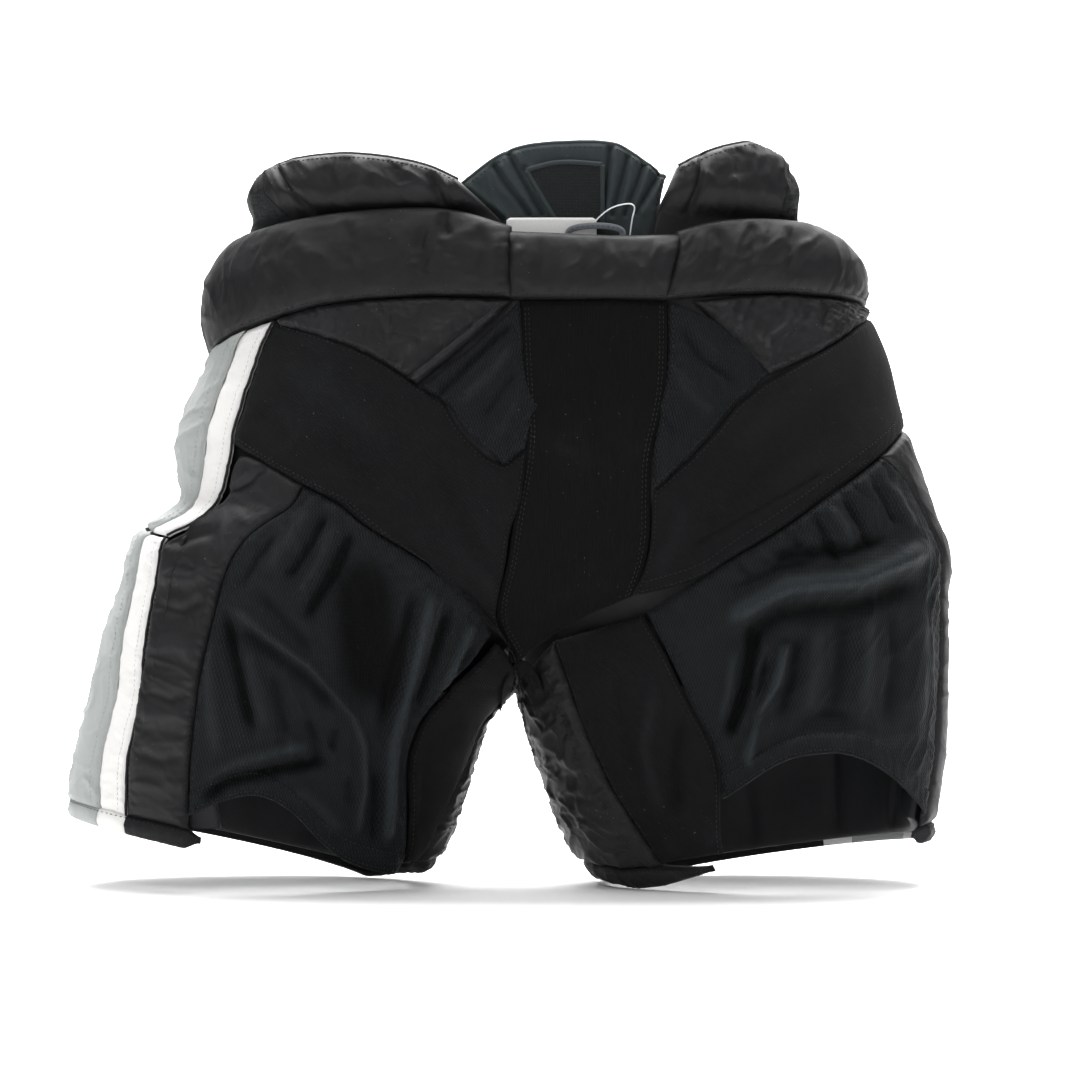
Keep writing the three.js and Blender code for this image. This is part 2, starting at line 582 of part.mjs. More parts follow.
// Cam buckle: a channel that the belt lies in, and a lever on a pin between the channel's walls.
const BUCKLE = { x: -14, width: 50, wall: 2.5, plate: 1.8, depth: 17, pin: 2, bore: 2.5, barrel: 4, pinAt: [9, 12] };
function buildBuckle() {
  const half = BELT_WIDTH / 2 + 2.2;
  const wall = half + BUCKLE.wall;
  const [pinX, pinY] = BUCKLE.pinAt;
  const { width, plate, depth } = BUCKLE;
  const bar = circle(BUCKLE.pin, 14, pinX, pinY);
  const side = [[0, 0], [width, 0], [width, plate], [width, depth], [0, depth], [0, plate]];
  const positions = [];
  const ring = (points, z) => points.map(([x, y]) => positions.push(x, y, z) / 3 - 1);
  const faces = [];
  const band = (low, high) => low.forEach((_, i) => {
    const j = (i + 1) % low.length;
    faces.push(low[i], low[j], high[j], low[i], high[j], high[i]);
  });
  const cap = (corners, holes, up) => {
    const flat = (list) => list.map((i) => new THREE.Vector2(positions[3 * i], positions[3 * i + 1]));
    const all = [...corners, ...holes.flat()];
    for (const [a, b, c] of THREE.ShapeUtils.triangulateShape(flat(corners), holes.map(flat))) {
      faces.push(...(up ? [all[a], all[b], all[c]] : [all[a], all[c], all[b]]));
    }
  };
  const rings = [-wall, -half, half, wall].map((z) => ring(side, z));
  const pins = [-half, half].map((z) => ring(bar, z));
  band(rings[0], rings[1]);
  band(rings[2], rings[3]);
  const floor = (list) => [list[0], list[1], list[2], list[5]];
  const opening = (list) => [list[5], list[2], list[3], list[4]];
  band(floor(rings[1]), floor(rings[2]));
  band(pins[0], pins[1]);
  cap(rings[0], [], false);
  cap(rings[3], [], true);
  cap(opening(rings[1]), [[...pins[0]].reverse()], true);
  cap(opening(rings[2]), [[...pins[1]].reverse()], false);
  const seat = facing(false, BUCKLE.x, BELT_Z).y + 0.6;
  const place = (geometry) => geometry.translate(BUCKLE.x - width / 2, seat, BELT_Z);
  add('buckle_frame', place(closed(positions, faces)), 'metal');
  const barrel = Array.from({ length: 12 }, (_, i) => {
    const turn = Math.PI / 2 + (i / 11) * Math.PI;
    return [pinX + BUCKLE.barrel * Math.cos(turn), pinY + BUCKLE.barrel * Math.sin(turn)];
  });
  const outline = [...barrel, [pinX + 34, pinY - 3.6], [pinX + 42, pinY], [pinX + 42, pinY + BUCKLE.barrel]];
  const bore = circle(BUCKLE.bore, 14, pinX, pinY).reverse();
  const lever = extruded(outline, 2 * half - 2, [bore]).translate(0, 0, 1 - half);
  add('buckle_lever', place(lever), 'metal');
}

// ---- Legs ----
function buildLeg(half) {
  const panels = BACK[half];
  const seen = (line) => onBack(half, line);
  const hamstring = Object.fromEntries(Object.entries(panels.hamstring).map(([key, line]) => [key, seen(line)]));
  add(`hamstring_mesh_${half}`, slab(onHalf(half, hamstring), SKIN, 9, 12, 2.4), 'mesh');
  const thighRear = STRIPE_REAR[half].thigh;
  const rearFoot = [thighRear[0][0], hemZ(half, thighRear[0][0]) + HEM_HEIGHT];
  const inward = half === 'left'
    ? { line: seen(panels.outerPanelInner), top: seen([[-281, 289], [-250, 300], [-234, 317], [-224, 342], [-217, 364], [-190, 351], [-164, 336]]) }
    : { line: seen(panels.hamstring.right), top: [[-0.05, 384], ...seen([[330, 376], [312, 361]])] };
  const outward = half === 'left'
    ? [rearFoot, ...thighRear.slice(1, -1), seen([[-281, 290]])[0]]
    : [rearFoot, [-0.05, 300], [-0.05, 384]];
  inward.line = [[inward.line[0][0], hemZ(half, inward.line[0][0]) + HEM_HEIGHT], ...inward.line.slice(1)];
  const top = half === 'left' ? [outward.at(-1), ...inward.top.slice(1)] : inward.top;
  add(`outer_leg_panel_${half}`, slab(onHalf(half, {
    left: outward, right: inward.line, top, bottom: [outward[0], inward.line[0]],
  }), SKIN, 5, 9, 1.6), 'nylon');

  const stretch = Object.fromEntries(Object.entries(panels.innerStretch).map(([key, line]) => [key, seen(line)]));
  add(`inner_stretch_panel_${half}`, slab(onHalf(half, stretch), SKIN, 4, 12, 3), 'stretch');
  const rearInner = half === 'left' ? stretch.right : stretch.left;
  const nylonFoot = hemLine(half, rearInner[0][0], 1.15, 5, HEM_HEIGHT + 2);
  const nylonRear = rearInner.slice(1).filter(([, z]) => z < 162);
  const nylon = {
    left: [nylonFoot[0], ...nylonRear],
    right: [nylonFoot.at(-1), [1.15, 80], [1.15, 148]],
    bottom: nylonFoot,
    top: [nylonRear.at(-1), [1, 158], [1.15, 148]],
  };
  add(`inner_leg_panel_${half}`, slab(onHalf(half, clampedLeg(nylon)), SKIN, 4, 9, 2), 'nylon');

  const coverSide = [60, 90, 130, 180, 220, 260, 298].map((z) => [stripeFront(half, z) - 0.012, z]);
  const coverTop = [coverSide.at(-1), [-0.62, 216], [-0.84, 152]];
  const foot = hemLine(half, coverSide[0][0], -0.84, 8, HEM_HEIGHT + 1);
  coverSide[0] = foot[0];
  const cover = { left: coverSide, right: [foot.at(-1), coverTop.at(-1)], bottom: foot, top: coverTop };
  add(`thigh_cover_${half}`, slab(onHalf(half, cover), SKIN, 12, 7), 'nylon');
  const inset = (edges, ds, dz) => ({
    left: edges.left.map(([s, z], i) => [s - ds, z + (i ? 0 : dz)]), right: edges.right.map(([s, z], i) => [s + ds, z + (i ? -dz : dz)]),
    bottom: edges.bottom.map(([s, z], i, all) => [s - ds + (2 * ds * i) / (all.length - 1), z + dz]),
    top: edges.top.map(([s, z], i, all) => [s - ds + (2 * ds * i) / (all.length - 1), z - dz]),
  });
  const plate = inset(cover, 0.05, 22);
  plate.left = [plate.bottom[0], ...plate.left.slice(1, -1), plate.top[0]];
  plate.right = [plate.bottom.at(-1), plate.top.at(-1)];
  add(`thigh_plate_${half}`, slab(onHalf(half, plate), PLATE, 10, 6), 'plate');
  const rear = half === 'left' ? 0.44 : 0.12;
  const foamFoot = hemLine(half, rear, -0.83, 14, HEM_HEIGHT + 3);
  const foamTop = [[rear, 262], [0.1, 282], [-0.2, 284], [stripeFront(half, 280) - 0.02, 284], [-0.62, 204], [-0.83, 142]];
  add(`thigh_foam_${half}`, slab(onHalf(half, {
    left: [foamFoot[0], foamTop[0]], right: [foamFoot.at(-1), foamTop.at(-1)], bottom: foamFoot, top: foamTop,
  }), FOAM, 16, 5), 'foam');
  const hemRear = half === 'left' ? 0.41 : 0.13;
  const hemLow = hemLine(half, hemRear, -1.14, 22, 0);
  const hemHigh = hemLine(half, hemRear, -1.14, 22, HEM_HEIGHT);
  add(`leg_hem_${half}`, slab((u, t) => {
    const i = u * 22;
    const low = hemLow[Math.min(Math.floor(i), 21)];
    const high = hemHigh[Math.min(Math.floor(i) + 1, 22)];
    const s = low[0] + (high[0] - low[0]) * (i - Math.min(Math.floor(i), 21));
    return surface(half, s < -1 ? s + 2 : s, hemZ(half, s < -1 ? s + 2 : s) + t * HEM_HEIGHT);
  }, [1.5, -7], 24, 1, 0), 'nylon');
}

// On a leg nothing may lie above the crotch once s passes 1.
function clampedLeg(edges) {
  const lower = (line) => line.map(([s, z]) => [s, s > 1 ? Math.min(z, CROTCH_Z - 1) : z]);
  return Object.fromEntries(Object.entries(edges).map(([key, line]) => [key, lower(line)]));
}

// ---- Floating back guard: spine pad, kidney pads and their vents ----
function buildGuard() {
  const fan = {
    left: [[14, 508], [8, 540], [-40, 582]], right: [[124, 508], [130, 545], [140, 592]],
    top: [[-40, 582], [-14, 603], [6, 613], [31, 618], [90, 620], [112, 610], [140, 592]],
  };
  add('spine_pad', slab(acrossBack(fan), SPINE_FOAM, 8, 5), 'spine');
  add('spine_plate', slab(acrossBack({
    left: [[30, 514], [28, 545], [14, 590]], right: [[108, 514], [112, 545], [112, 592]],
  }), SPINE_PLATE, 4, 4), 'plate');
  add('spine_vent', slab(acrossBack({
    left: [[46, 552], [18, 594]], right: [[84, 552], [90, 597]], top: [[18, 594], [52, 602], [90, 597]],
  }), [-28.2, -29.4], 4, 3), 'mesh');
  const lobes = {
    left: {
      left: [[0, 522], [0, 545], ...onBack('left', [[-229, 566]])], right: onBack('left', [[-6, 512], [-6, 553], [-46, 588]]),
      bottom: [[0, 522], [0.25, 518], ...onBack('left', [[-60, 512], [-6, 512]])],
      top: onBack('left', [[-229, 566], [-222, 583], [-205, 598], [-189, 606], [-130, 612], [-66, 600], [-46, 588]]),
    },
    right: {
      left: onBack('right', [[148, 512], [152, 545], [150, 590]]), right: [[0, 520], [0, 540], ...onBack('right', [[262, 568]])],
      bottom: [...onBack('right', [[148, 512], [200, 512]]), [0.25, 516], [0, 520]],
      top: onBack('right', [[150, 590], [170, 610], [205, 620], [228, 612], [252, 592], [262, 568]]),
    },
  };
  const vents = {
    left: { left: [[-230, 534], [-206, 578]], right: [[-184, 562], [-199, 581]] },
    right: { left: [[204, 575], [212, 602]], right: [[240, 572], [232, 594]] },
  };
  // Under the waistband a lobe lies behind it, and above the waistband it comes out nearly level with it.
  const lying = (place, face) => (u, t) => face + 11 * smooth((place(u, t).z - 567) / 20);
  for (const half of ['left', 'right']) {
    const lobe = onHalf(half, lobes[half]);
    add(`kidney_pad_${half}`, slab(lobe, [lying(lobe, -14), lying(lobe, -27)], 12, 7), 'nylon');
    const edges = Object.fromEntries(Object.entries(vents[half]).map(([key, line]) => [key, onBack(half, line)]));
    const vent = onHalf(half, edges);
    add(`kidney_vent_${half}`, slab(vent, [lying(vent, -11.4), lying(vent, -12.6)], 3, 3, 0), 'mesh');
  }
}

// ---- Hang loop, swing tag and its plastic loop ----
function buildTag() {
  const back = -depthBack(545);
  const arch = (width, rise, foot) => {
    const outline = [[-width, foot]];
    for (let i = 0; i <= 10; i += 1) {
      const turn = Math.PI * (1 - i / 10);
      outline.push([width * Math.cos(turn), rise * Math.sin(turn) ** 0.6]);
    }
    return [...outline, [width, foot]];
  };
  const loop = extruded([...arch(25, 10, -22), ...arch(20, 6, -22).reverse()], 1.6).rotateX(Math.PI / 2);
  loop.translate(76, back + 14.2, 540);
  add('hang_loop', closed([...loop.attributes.position.array], [...loop.index.array]), 'webbing');
  const card = { width: 74, height: 62, corner: 3, thick: 0.7 };
  const rounded = [[1, 1], [-1, 1], [-1, -1], [1, -1]].flatMap(([sx, sz], quarter) => [0, 1, 2, 3].map((i) => {
    const turn = (quarter + i / 3) * (Math.PI / 2);
    return [
      sx * (card.width / 2 - card.corner) + card.corner * Math.cos(turn),
      sz * (card.height / 2 - card.corner) + card.corner * Math.sin(turn),
    ];
  }));
  const tag = extruded(rounded, card.thick).rotateX(Math.PI / 2).rotateY(-0.02);
  tag.translate(40, back + 19.4, 555 - card.height / 2);
  add('swing_tag', closed([...tag.attributes.position.array], [...tag.index.array]), 'card');
  const route = new THREE.CatmullRomCurve3([
    [74, 16.6, 549], [80, 15.4, 556], [90, 14.6, 563], [103, 14.2, 566], [108, 14.2, 563], [106, 14.4, 553], [104, 14.8, 538],
  ].map(([x, inward, z]) => new THREE.Vector3(x, back + inward, z)));
  const round = new THREE.Shape(Array.from({ length: 8 }, (_, i) => new THREE.Vector2(
    0.6 * Math.cos((i * Math.PI) / 4), 0.6 * Math.sin((i * Math.PI) / 4))));
  const filament = new THREE.ExtrudeGeometry(round, { steps: 22, extrudePath: route, bevelEnabled: false });
  add('tag_loop', welded(filament), 'clip');
}

buildSeat();
buildWaist();
buildFront();
for (const half of ['left', 'right']) {
  buildStripes(half);
  buildLeg(half);
}
buildGuard();
buildTag();

// Move the whole so that the origin is under the middle of its bounding box.
const STAND = { x: -4.32, y: 2.95, z: -1.28 };
for (const mesh of pants.children) mesh.geometry.translate(STAND.x, STAND.y, STAND.z);

export default pants;
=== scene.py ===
"""Ice hockey pants: the visible cloth, pads and trimmings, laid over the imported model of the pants.

Pattern lengths are in millimetres, with +Z up, +Y to the wearer's front and -X to the wearer's left.
Every piece is a surface on the trunk, a tube of cloth that divides into two legs. A place on the trunk is
[s, z]: z is the height, and s runs round one half from 1 at the middle of the back, through 0 at the outer
side, to -1 at the middle of the front. Meshes are in metres, in the row's frame.
"""

import logging
import math
from dataclasses import dataclass, field
from enum import Enum
from typing import Any, Callable, Iterable, Sequence

import bpy
import numpy as np
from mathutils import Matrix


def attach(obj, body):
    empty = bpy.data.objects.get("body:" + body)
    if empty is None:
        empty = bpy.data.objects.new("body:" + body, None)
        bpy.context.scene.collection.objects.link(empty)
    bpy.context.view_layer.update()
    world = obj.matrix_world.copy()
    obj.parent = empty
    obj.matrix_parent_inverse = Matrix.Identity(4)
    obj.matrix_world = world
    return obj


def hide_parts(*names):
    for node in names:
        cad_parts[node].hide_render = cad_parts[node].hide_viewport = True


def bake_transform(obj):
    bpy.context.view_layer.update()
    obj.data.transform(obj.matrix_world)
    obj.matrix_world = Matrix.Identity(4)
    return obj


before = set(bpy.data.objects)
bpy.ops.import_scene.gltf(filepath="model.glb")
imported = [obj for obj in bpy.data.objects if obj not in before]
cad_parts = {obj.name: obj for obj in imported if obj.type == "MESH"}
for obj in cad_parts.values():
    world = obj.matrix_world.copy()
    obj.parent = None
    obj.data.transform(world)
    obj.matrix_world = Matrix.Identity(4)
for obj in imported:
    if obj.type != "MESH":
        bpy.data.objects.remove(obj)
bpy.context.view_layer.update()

LOG = logging.getLogger("hockey_pants")

Array = np.ndarray
Line = Sequence[tuple[float, float]]
Place = Callable[[Array, Array], Array]

MM = 0.001
TO_ROW = np.array([-4.32, 2.95, -1.28])
RING_SCALE = 250.0


class Side(Enum):
    """The wearer's two sides."""

    LEFT = -1
    RIGHT = 1

    @property
    def word(self) -> str:
        """The side's name as the CAD nodes spell it."""
        return self.name.lower()

    @property
    def body(self) -> str:
        """The CAD body of this side's leg."""
        return f"leg_{self.word}"


class Edge(Enum):
    """The four edges of a panel."""

    LEFT = "left"
    RIGHT = "right"
    LOW = "low"
    HIGH = "high"


# ---------------------------------------------------------------------------------------------
# The trunk: the same tube as the solids are cut from
# ---------------------------------------------------------------------------------------------


@dataclass(frozen=True)
class Profile:
    """A smooth size against height, through (height, size) points."""

    points: tuple[tuple[float, float], ...]

    def at(self, z: Array) -> Array:
        """The size at each height.

        Between two points it is a rise of smoothstep form, plus a share of the slopes at both ends.

        Args:
            z: Heights.

        Returns:
            Sizes, in the shape of z.
        """
        zs, vs = np.array(self.points, float).T
        n = len(zs)
        before, after = np.maximum(np.arange(n) - 1, 0), np.minimum(np.arange(n) + 1, n - 1)
        slopes = (vs[after] - vs[before]) / (zs[after] - zs[before])
        i = np.clip(np.searchsorted(zs, z, side="right") - 1, 0, n - 2)
        h = zs[i + 1] - zs[i]
        t = np.clip((z - zs[i]) / h, 0, 1)
        rise = t * t * (3 - 2 * t)
        tangents = (1 - t) * slopes[i] - t * slopes[i + 1]
        return vs[i] + (vs[i + 1] - vs[i]) * rise + h * t * (1 - t) * tangents


def smooth(t: Array) -> Array:
    """Smoothstep from 0 to 1."""
    c = np.clip(t, 0, 1)
    return c * c * (3 - 2 * c)


def rounded(t: Array) -> Array:
    """A quarter circle that rises from 0 to 1 and is steep at first."""
    return np.sqrt(1 - (1 - np.clip(t, 0, 1)) ** 2)


def run_along(points: Array) -> Array:
    """Distance of each point of a line from its first point, along the line."""
    return np.concatenate([[0], np.cumsum(np.linalg.norm(np.diff(points, axis=0), axis=1))])


@dataclass(frozen=True)
class Trunk:
    """The tube of cloth: two outer profiles, two inseams, two centre lines and two depths."""

    crotch: float = 169.0
    seat: float = 400.0
    outer: dict[Side, Profile] = field(default_factory=lambda: {
        Side.LEFT: Profile((
            (0, -364), (97, -362), (136, -353), (188, -341), (225, -330), (252, -321), (288, -311),
            (303, -298), (321, -271), (343, -271), (372, -274), (400, -266), (443, -247), (499, -245),
            (528, -236), (622, -205))),
        Side.RIGHT: Profile((
            (0, 355), (56, 361), (122, 370), (240, 371), (278, 373), (308, 362), (359, 344), (403, 331),
            (443, 320), (484, 304), (520, 295), (551, 277), (572, 263), (622, 240))),
    })
    inseam: dict[Side, Profile] = field(default_factory=lambda: {
        Side.LEFT: Profile(((0, -84), (24, -56), (53, -42), (112, -24), (141, -13), (169, 10))),
        Side.RIGHT: Profile(((0, 84), (41, 54), (110, 28), (147, 17), (169, 12))),
    })
    centre_back: Profile = Profile((
        (169, 11), (200, 30), (240, 51), (303, 64), (369, 73), (486, 75), (622, 60)))
    centre_front: Profile = Profile((
        (169, 11), (240, 5), (303, -5), (369, -10), (486, -14), (622, -14)))
    depth_back: Profile = Profile((
        (0, 84), (100, 94), (200, 108), (300, 118), (400, 118), (486, 104), (540, 98), (622, 94)))
    depth_front: Profile = Profile((
        (0, 90), (100, 104), (200, 112), (300, 110), (400, 100), (486, 94), (622, 88)))

    def sweep(self, z: Array) -> Array:
        """How far round its ellipse one half runs: a half turn on a leg, a quarter turn at the waist."""
        up = np.clip((z - self.crotch) / (self.seat - self.crotch), 0, 1)
        return np.pi - np.arcsin(np.sqrt(np.clip(1 - (1 - up) ** 2, 0, 1)))

    def radius(self, side: Side, back: Array, z: Array) -> Array:
        """The half width of one half's ellipse, which ends at the inseam or the centre line."""
        centre = np.where(back, self.centre_back.at(z), self.centre_front.at(z))
        step = (self.inseam[side].at(z) - self.centre_back.at(self.crotch)) * np.exp((self.crotch - z) / 12)
        inner = np.where(z < self.crotch, self.inseam[side].at(z), centre + step)
        return np.abs(inner - self.outer[side].at(z)) / (1 - np.cos(self.sweep(z)))

    def surface(self, side: Side, s: Array, z: Array) -> Array:
        """Points at [s, z].

        x goes round the ellipse from the outer profile, and y is the depth times the sine of the same
        angle, flattened near the centre lines. On a leg s may pass 1, which carries on to the front.

        Args:
            side: Which half.
            s: Places round the half.
            z: Heights.

        Returns:
            Points, with a last axis of three.
        """
        s, z = np.broadcast_arrays(np.asarray(s, float), np.asarray(z, float))
        turned = np.where(s > 1, s - 2, np.where(s < -1, s + 2, s))
        return self.turned_to(side, turned * self.sweep(z), z)

    def turned_to(self, side: Side, angle: Array, z: Array) -> Array:
        """Points at an angle round the ellipse of one half, positive towards the back."""
        full = self.sweep(z)
        angle = np.where(angle > np.pi, angle - 2 * np.pi, np.where(angle < -np.pi, angle + 2 * np.pi, angle))
        back = angle >= 0
        angle = np.abs(angle)
        turned = angle / full
        depth = np.where(back, self.depth_back.at(z), self.depth_front.at(z))
        flat = smooth((turned - 0.7) / 0.3) * smooth((z - self.crotch) / 60)
        bulge = depth * (np.sin(angle) * (1 - flat) + np.sin(full) * flat)
        x = self.outer[side].at(z) - side.value * self.radius(side, back, z) * (1 - np.cos(angle))
        return np.stack([x, np.where(back, -bulge, bulge), z], axis=-1)

    def around(self, side: Side, back: bool, x: Array, z: Array) -> Array:
        """s of the point of one half that lies at x, on the back or on the front."""
        x, z = np.asarray(x, float), np.asarray(z, float)
        cosine = np.clip(1 - np.abs(x - self.outer[side].at(z)) / self.radius(side, back, z), -1, 1)
        s = np.minimum(np.arccos(cosine) / self.sweep(z), 1)
        return s if back else -s

    def facing(self, back: bool, x: Array, z: Array) -> Array:
        """Points of the back or the front, given as they look flat."""
        x, z = np.broadcast_arrays(np.asarray(x, float), np.asarray(z, float))
        centre = (self.centre_back if back else self.centre_front).at(z)
        halves = [self.surface(side, self.around(side, back, x, z), z) for side in Side]
        return np.where((x < centre)[..., None], halves[0], halves[1])

    def core(self, points: Array) -> Array:
        """x of the middle of the tube or of the leg that each point is on."""
        x, z = points[..., 0], points[..., 2]
        left, right = self.outer[Side.LEFT].at(z), self.outer[Side.RIGHT].at(z)
        centre = self.centre_back.at(z)
        leg = np.where(x < centre, (left + centre) / 2, (right + centre) / 2)
        share = smooth((z - self.crotch) / 120)
        below = np.where(
            x < 11, (left + self.inseam[Side.LEFT].at(z)) / 2, (right + self.inseam[Side.RIGHT].at(z)) / 2)
        return np.where(z < self.crotch, below, leg + ((left + right) / 2 - leg) * share)

    def along_ring(self, side: Side, s: float, z: float, distance: float) -> float:
        """s after going a real distance towards the front at one height."""
        steps = np.linspace(s, -1, 400)
        ring = self.surface(side, steps, np.full_like(steps, z))
        return float(np.interp(distance, run_along(ring), steps))


TRUNK = Trunk()


# ---------------------------------------------------------------------------------------------
# Pattern pieces
# ---------------------------------------------------------------------------------------------


def along(line: Line, t: Array, scale: float) -> Array:
    """Points a share t along a line of points, by its length with the first coordinate scaled."""
    points = np.array(line, float)
    steps = np.diff(points, axis=0) * [scale, 1]
    gone = np.concatenate([[0], np.cumsum(np.hypot(steps[:, 0], steps[:, 1]))])
    return np.stack([np.interp(t * gone[-1], gone, points[:, k]) for k in (0, 1)], axis=-1)


def eased(line: Line) -> Array:
    """A line with its corners cut three times, each time a quarter of the way along both sides."""
    points = np.array(line, float)
    for _ in range(3 if len(points) > 2 else 0):
        cut = np.stack([0.75 * points[:-1] + 0.25 * points[1:], 0.25 * points[:-1] + 0.75 * points[1:]], 1)
        points = np.concatenate([points[:1], cut.reshape(-1, 2)[1:-1], points[-1:]])
    return points


@dataclass
class Pattern:
    """A pattern piece between four edges. Left and right run upwards, low and high left to right."""

    left: Line
    right: Line
    low: Line | None = None
    high: Line | None = None
    scale: float = RING_SCALE

    def at(self, u: Array, t: Array) -> Array:
        """Coons patch: the two ruled surfaces between facing edges, less the one between the corners."""
        low = eased(self.low or [self.left[0], self.right[0]])
        high = eased(self.high or [self.left[-1], self.right[-1]])
        start, end = along(eased(self.left), t, self.scale), along(eased(self.right), t, self.scale)
        foot, head = along(low, u, self.scale), along(high, u, self.scale)
        u, t = u[..., None], t[..., None]
        corners = [np.array(p, float) for p in (self.left[0], self.right[0], self.left[-1], self.right[-1])]
        ruled = (1 - t) * foot + t * head + (1 - u) * start + u * end
        return (ruled - (1 - t) * ((1 - u) * corners[0] + u * corners[1])
                - t * ((1 - u) * corners[2] + u * corners[3]))


def on_side(side: Side, pattern: Pattern) -> Place:
    """A pattern in [s, z] laid on one half of the trunk.

    Its edges are turned from s into angles first, because the angle stays smooth at the crotch.
    """
    def turned(line: Line | None) -> Line | None:
        return line and [(s * float(TRUNK.sweep(np.array(float(z)))), z) for s, z in line]

    angles = Pattern(*(turned(line) for line in (pattern.left, pattern.right, pattern.low, pattern.high)),
                     scale=RING_SCALE / 2.2)

    def place(u: Array, t: Array) -> Array:
        spot = angles.at(u, t)
        return TRUNK.turned_to(side, spot[..., 0], spot[..., 1])
    return place


def seen_flat(back: bool, pattern: Pattern) -> Place:
    """A pattern in (x, z), as it looks flat, laid on the back or the front."""
    def place(u: Array, t: Array) -> Array:
        spot = pattern.at(u, t)
        return TRUNK.facing(back, spot[..., 0], spot[..., 1])
    return place


def ring_line(side: Side, points: Line, back: bool = True) -> list[tuple[float, float]]:
    """A line given as (x, z) seen from behind or in front, as [s, z]."""
    return [(float(TRUNK.around(side, back, x, z)), z) for x, z in points]


def flat_back(left: Line, right: Line, low: Line | None = None, high: Line | None = None) -> Place:
    """A piece outlined as it looks from behind."""
    return seen_flat(True, Pattern(left, right, low, high, scale=1))


def front_box(across: tuple[float, float], up: tuple[float, float]) -> Place:
    """An upright rectangle of the front, between two x and two heights."""
    (x0, x1), (z0, z1) = across, up
    return seen_flat(False, Pattern([(x0, z0), (x0, z1)], [(x1, z0), (x1, z1)], scale=1))


def side_back(side: Side, left: Line, right: Line, low: Line | None = None,
              high: Line | None = None) -> Place:
    """A piece of one half, outlined as it looks from behind."""
    lines = [ring_line(side, line) if line else None for line in (left, right, low, high)]
    return on_side(side, Pattern(*lines))


# ---------------------------------------------------------------------------------------------
# Relief
# ---------------------------------------------------------------------------------------------


def noise(x: Array, y: Array, seed: int) -> Array:
    """Gradient noise from -1 to 1 with cells one unit wide: corner slopes blended by a smooth fade."""
    rng = np.random.default_rng(seed)
    turn = rng.uniform(0, 2 * np.pi, 256)
    order = rng.permutation(256)
    xi, yi = np.floor(x).astype(int), np.floor(y).astype(int)
    xf, yf = x - xi, y - yi

    def corner(dx: int, dy: int) -> Array:
        pick = turn[order[(order[(xi + dx) & 255] + yi + dy) & 255]]
        return np.cos(pick) * (xf - dx) + np.sin(pick) * (yf - dy)

    fade = lambda f: f * f * f * (f * (f * 6 - 15) + 10)
    u, v = fade(xf), fade(yf)
    low = corner(0, 0) * (1 - u) + corner(1, 0) * u
    high = corner(0, 1) * (1 - u) + corner(1, 1) * u
    return 1.5 * (low * (1 - v) + high * v)


def to_line(x: Array, z: Array, points: Line) -> tuple[Array, Array]:
    """Distance of each point to a line of points, and the share of the line's length at the foot."""
    p = np.array(points, float)
    lengths = np.hypot(*np.diff(p, axis=0).T)
    starts = np.concatenate([[0], np.cumsum(lengths)])
    best, share = np.full(np.shape(x), np.inf), np.zeros(np.shape(x))
    for a, b, start, length in zip(p, p[1:], starts, lengths):
        d = b - a
        t = np.clip(((x - a[0]) * d[0] + (z - a[1]) * d[1]) / (d @ d), 0, 1)
        away = np.hypot(x - a[0] - t * d[0], z - a[1] - t * d[1])
        nearer = away < best
        best = np.where(nearer, away, best)
        share = np.where(nearer, (start + t * length) / starts[-1], share)
    return best, share


@dataclass(frozen=True)
class Fold:
    """A fold of cloth along a line seen flat: a ridge where rise is positive, else a furrow."""

    points: tuple[tuple[float, float], ...]
    width: float
    rise: float
    fade: float = 0.25

    def height(self, x: Array, z: Array) -> Array:
        """A bell across the line, which fades out over a share of the length at both ends."""
        away, share = to_line(x, z, self.points)
        ends = smooth(share / self.fade) * smooth((1 - share) / self.fade) if self.fade else 1.0
        return self.rise * np.exp(-((away / self.width) ** 2)) * ends


# ---------------------------------------------------------------------------------------------
# Meshes
# ---------------------------------------------------------------------------------------------


def piece_name(name: str) -> str:
    """A piece's name, which differs from that of the CAD node it stands for."""
    return f"{name}_sewn" if name in bpy.data.objects else name


def make_mesh(name: str, points: Array, faces: Array, uv: Array | None = None) -> bpy.types.Object:
    """A mesh object from arrays.

    Args:
        name: The piece's name.
        points: Vertices in pattern millimetres, n by 3.
        faces: Vertex numbers, m by 3 or m by 4.
        uv: Texture places of the vertices in metres, n by 2.

    Returns:
        The new object, at the origin.
    """
    mesh = bpy.data.meshes.new(name)
    mesh.vertices.add(len(points))
    mesh.vertices.foreach_set("co", ((points + TO_ROW) * MM).astype(np.float32).ravel())
    corners = np.ascontiguousarray(faces, np.int32)
    mesh.loops.add(corners.size)
    mesh.loops.foreach_set("vertex_index", corners.ravel())
    mesh.polygons.add(len(corners))
    mesh.polygons.foreach_set("loop_start", np.arange(0, corners.size, corners.shape[1], dtype=np.int32))
    mesh.polygons.foreach_set("use_smooth", np.ones(len(corners), bool))
    mesh.update(calc_edges=True)
    layer = mesh.uv_layers.new(name="cloth")
    spots = np.zeros((len(points), 2)) if uv is None else uv
    layer.data.foreach_set("uv", spots[corners.ravel()].astype(np.float32).ravel())
    mesh.validate()
    made = bpy.data.objects.new(piece_name(name), mesh)
    bpy.context.scene.collection.objects.link(made)
    return made


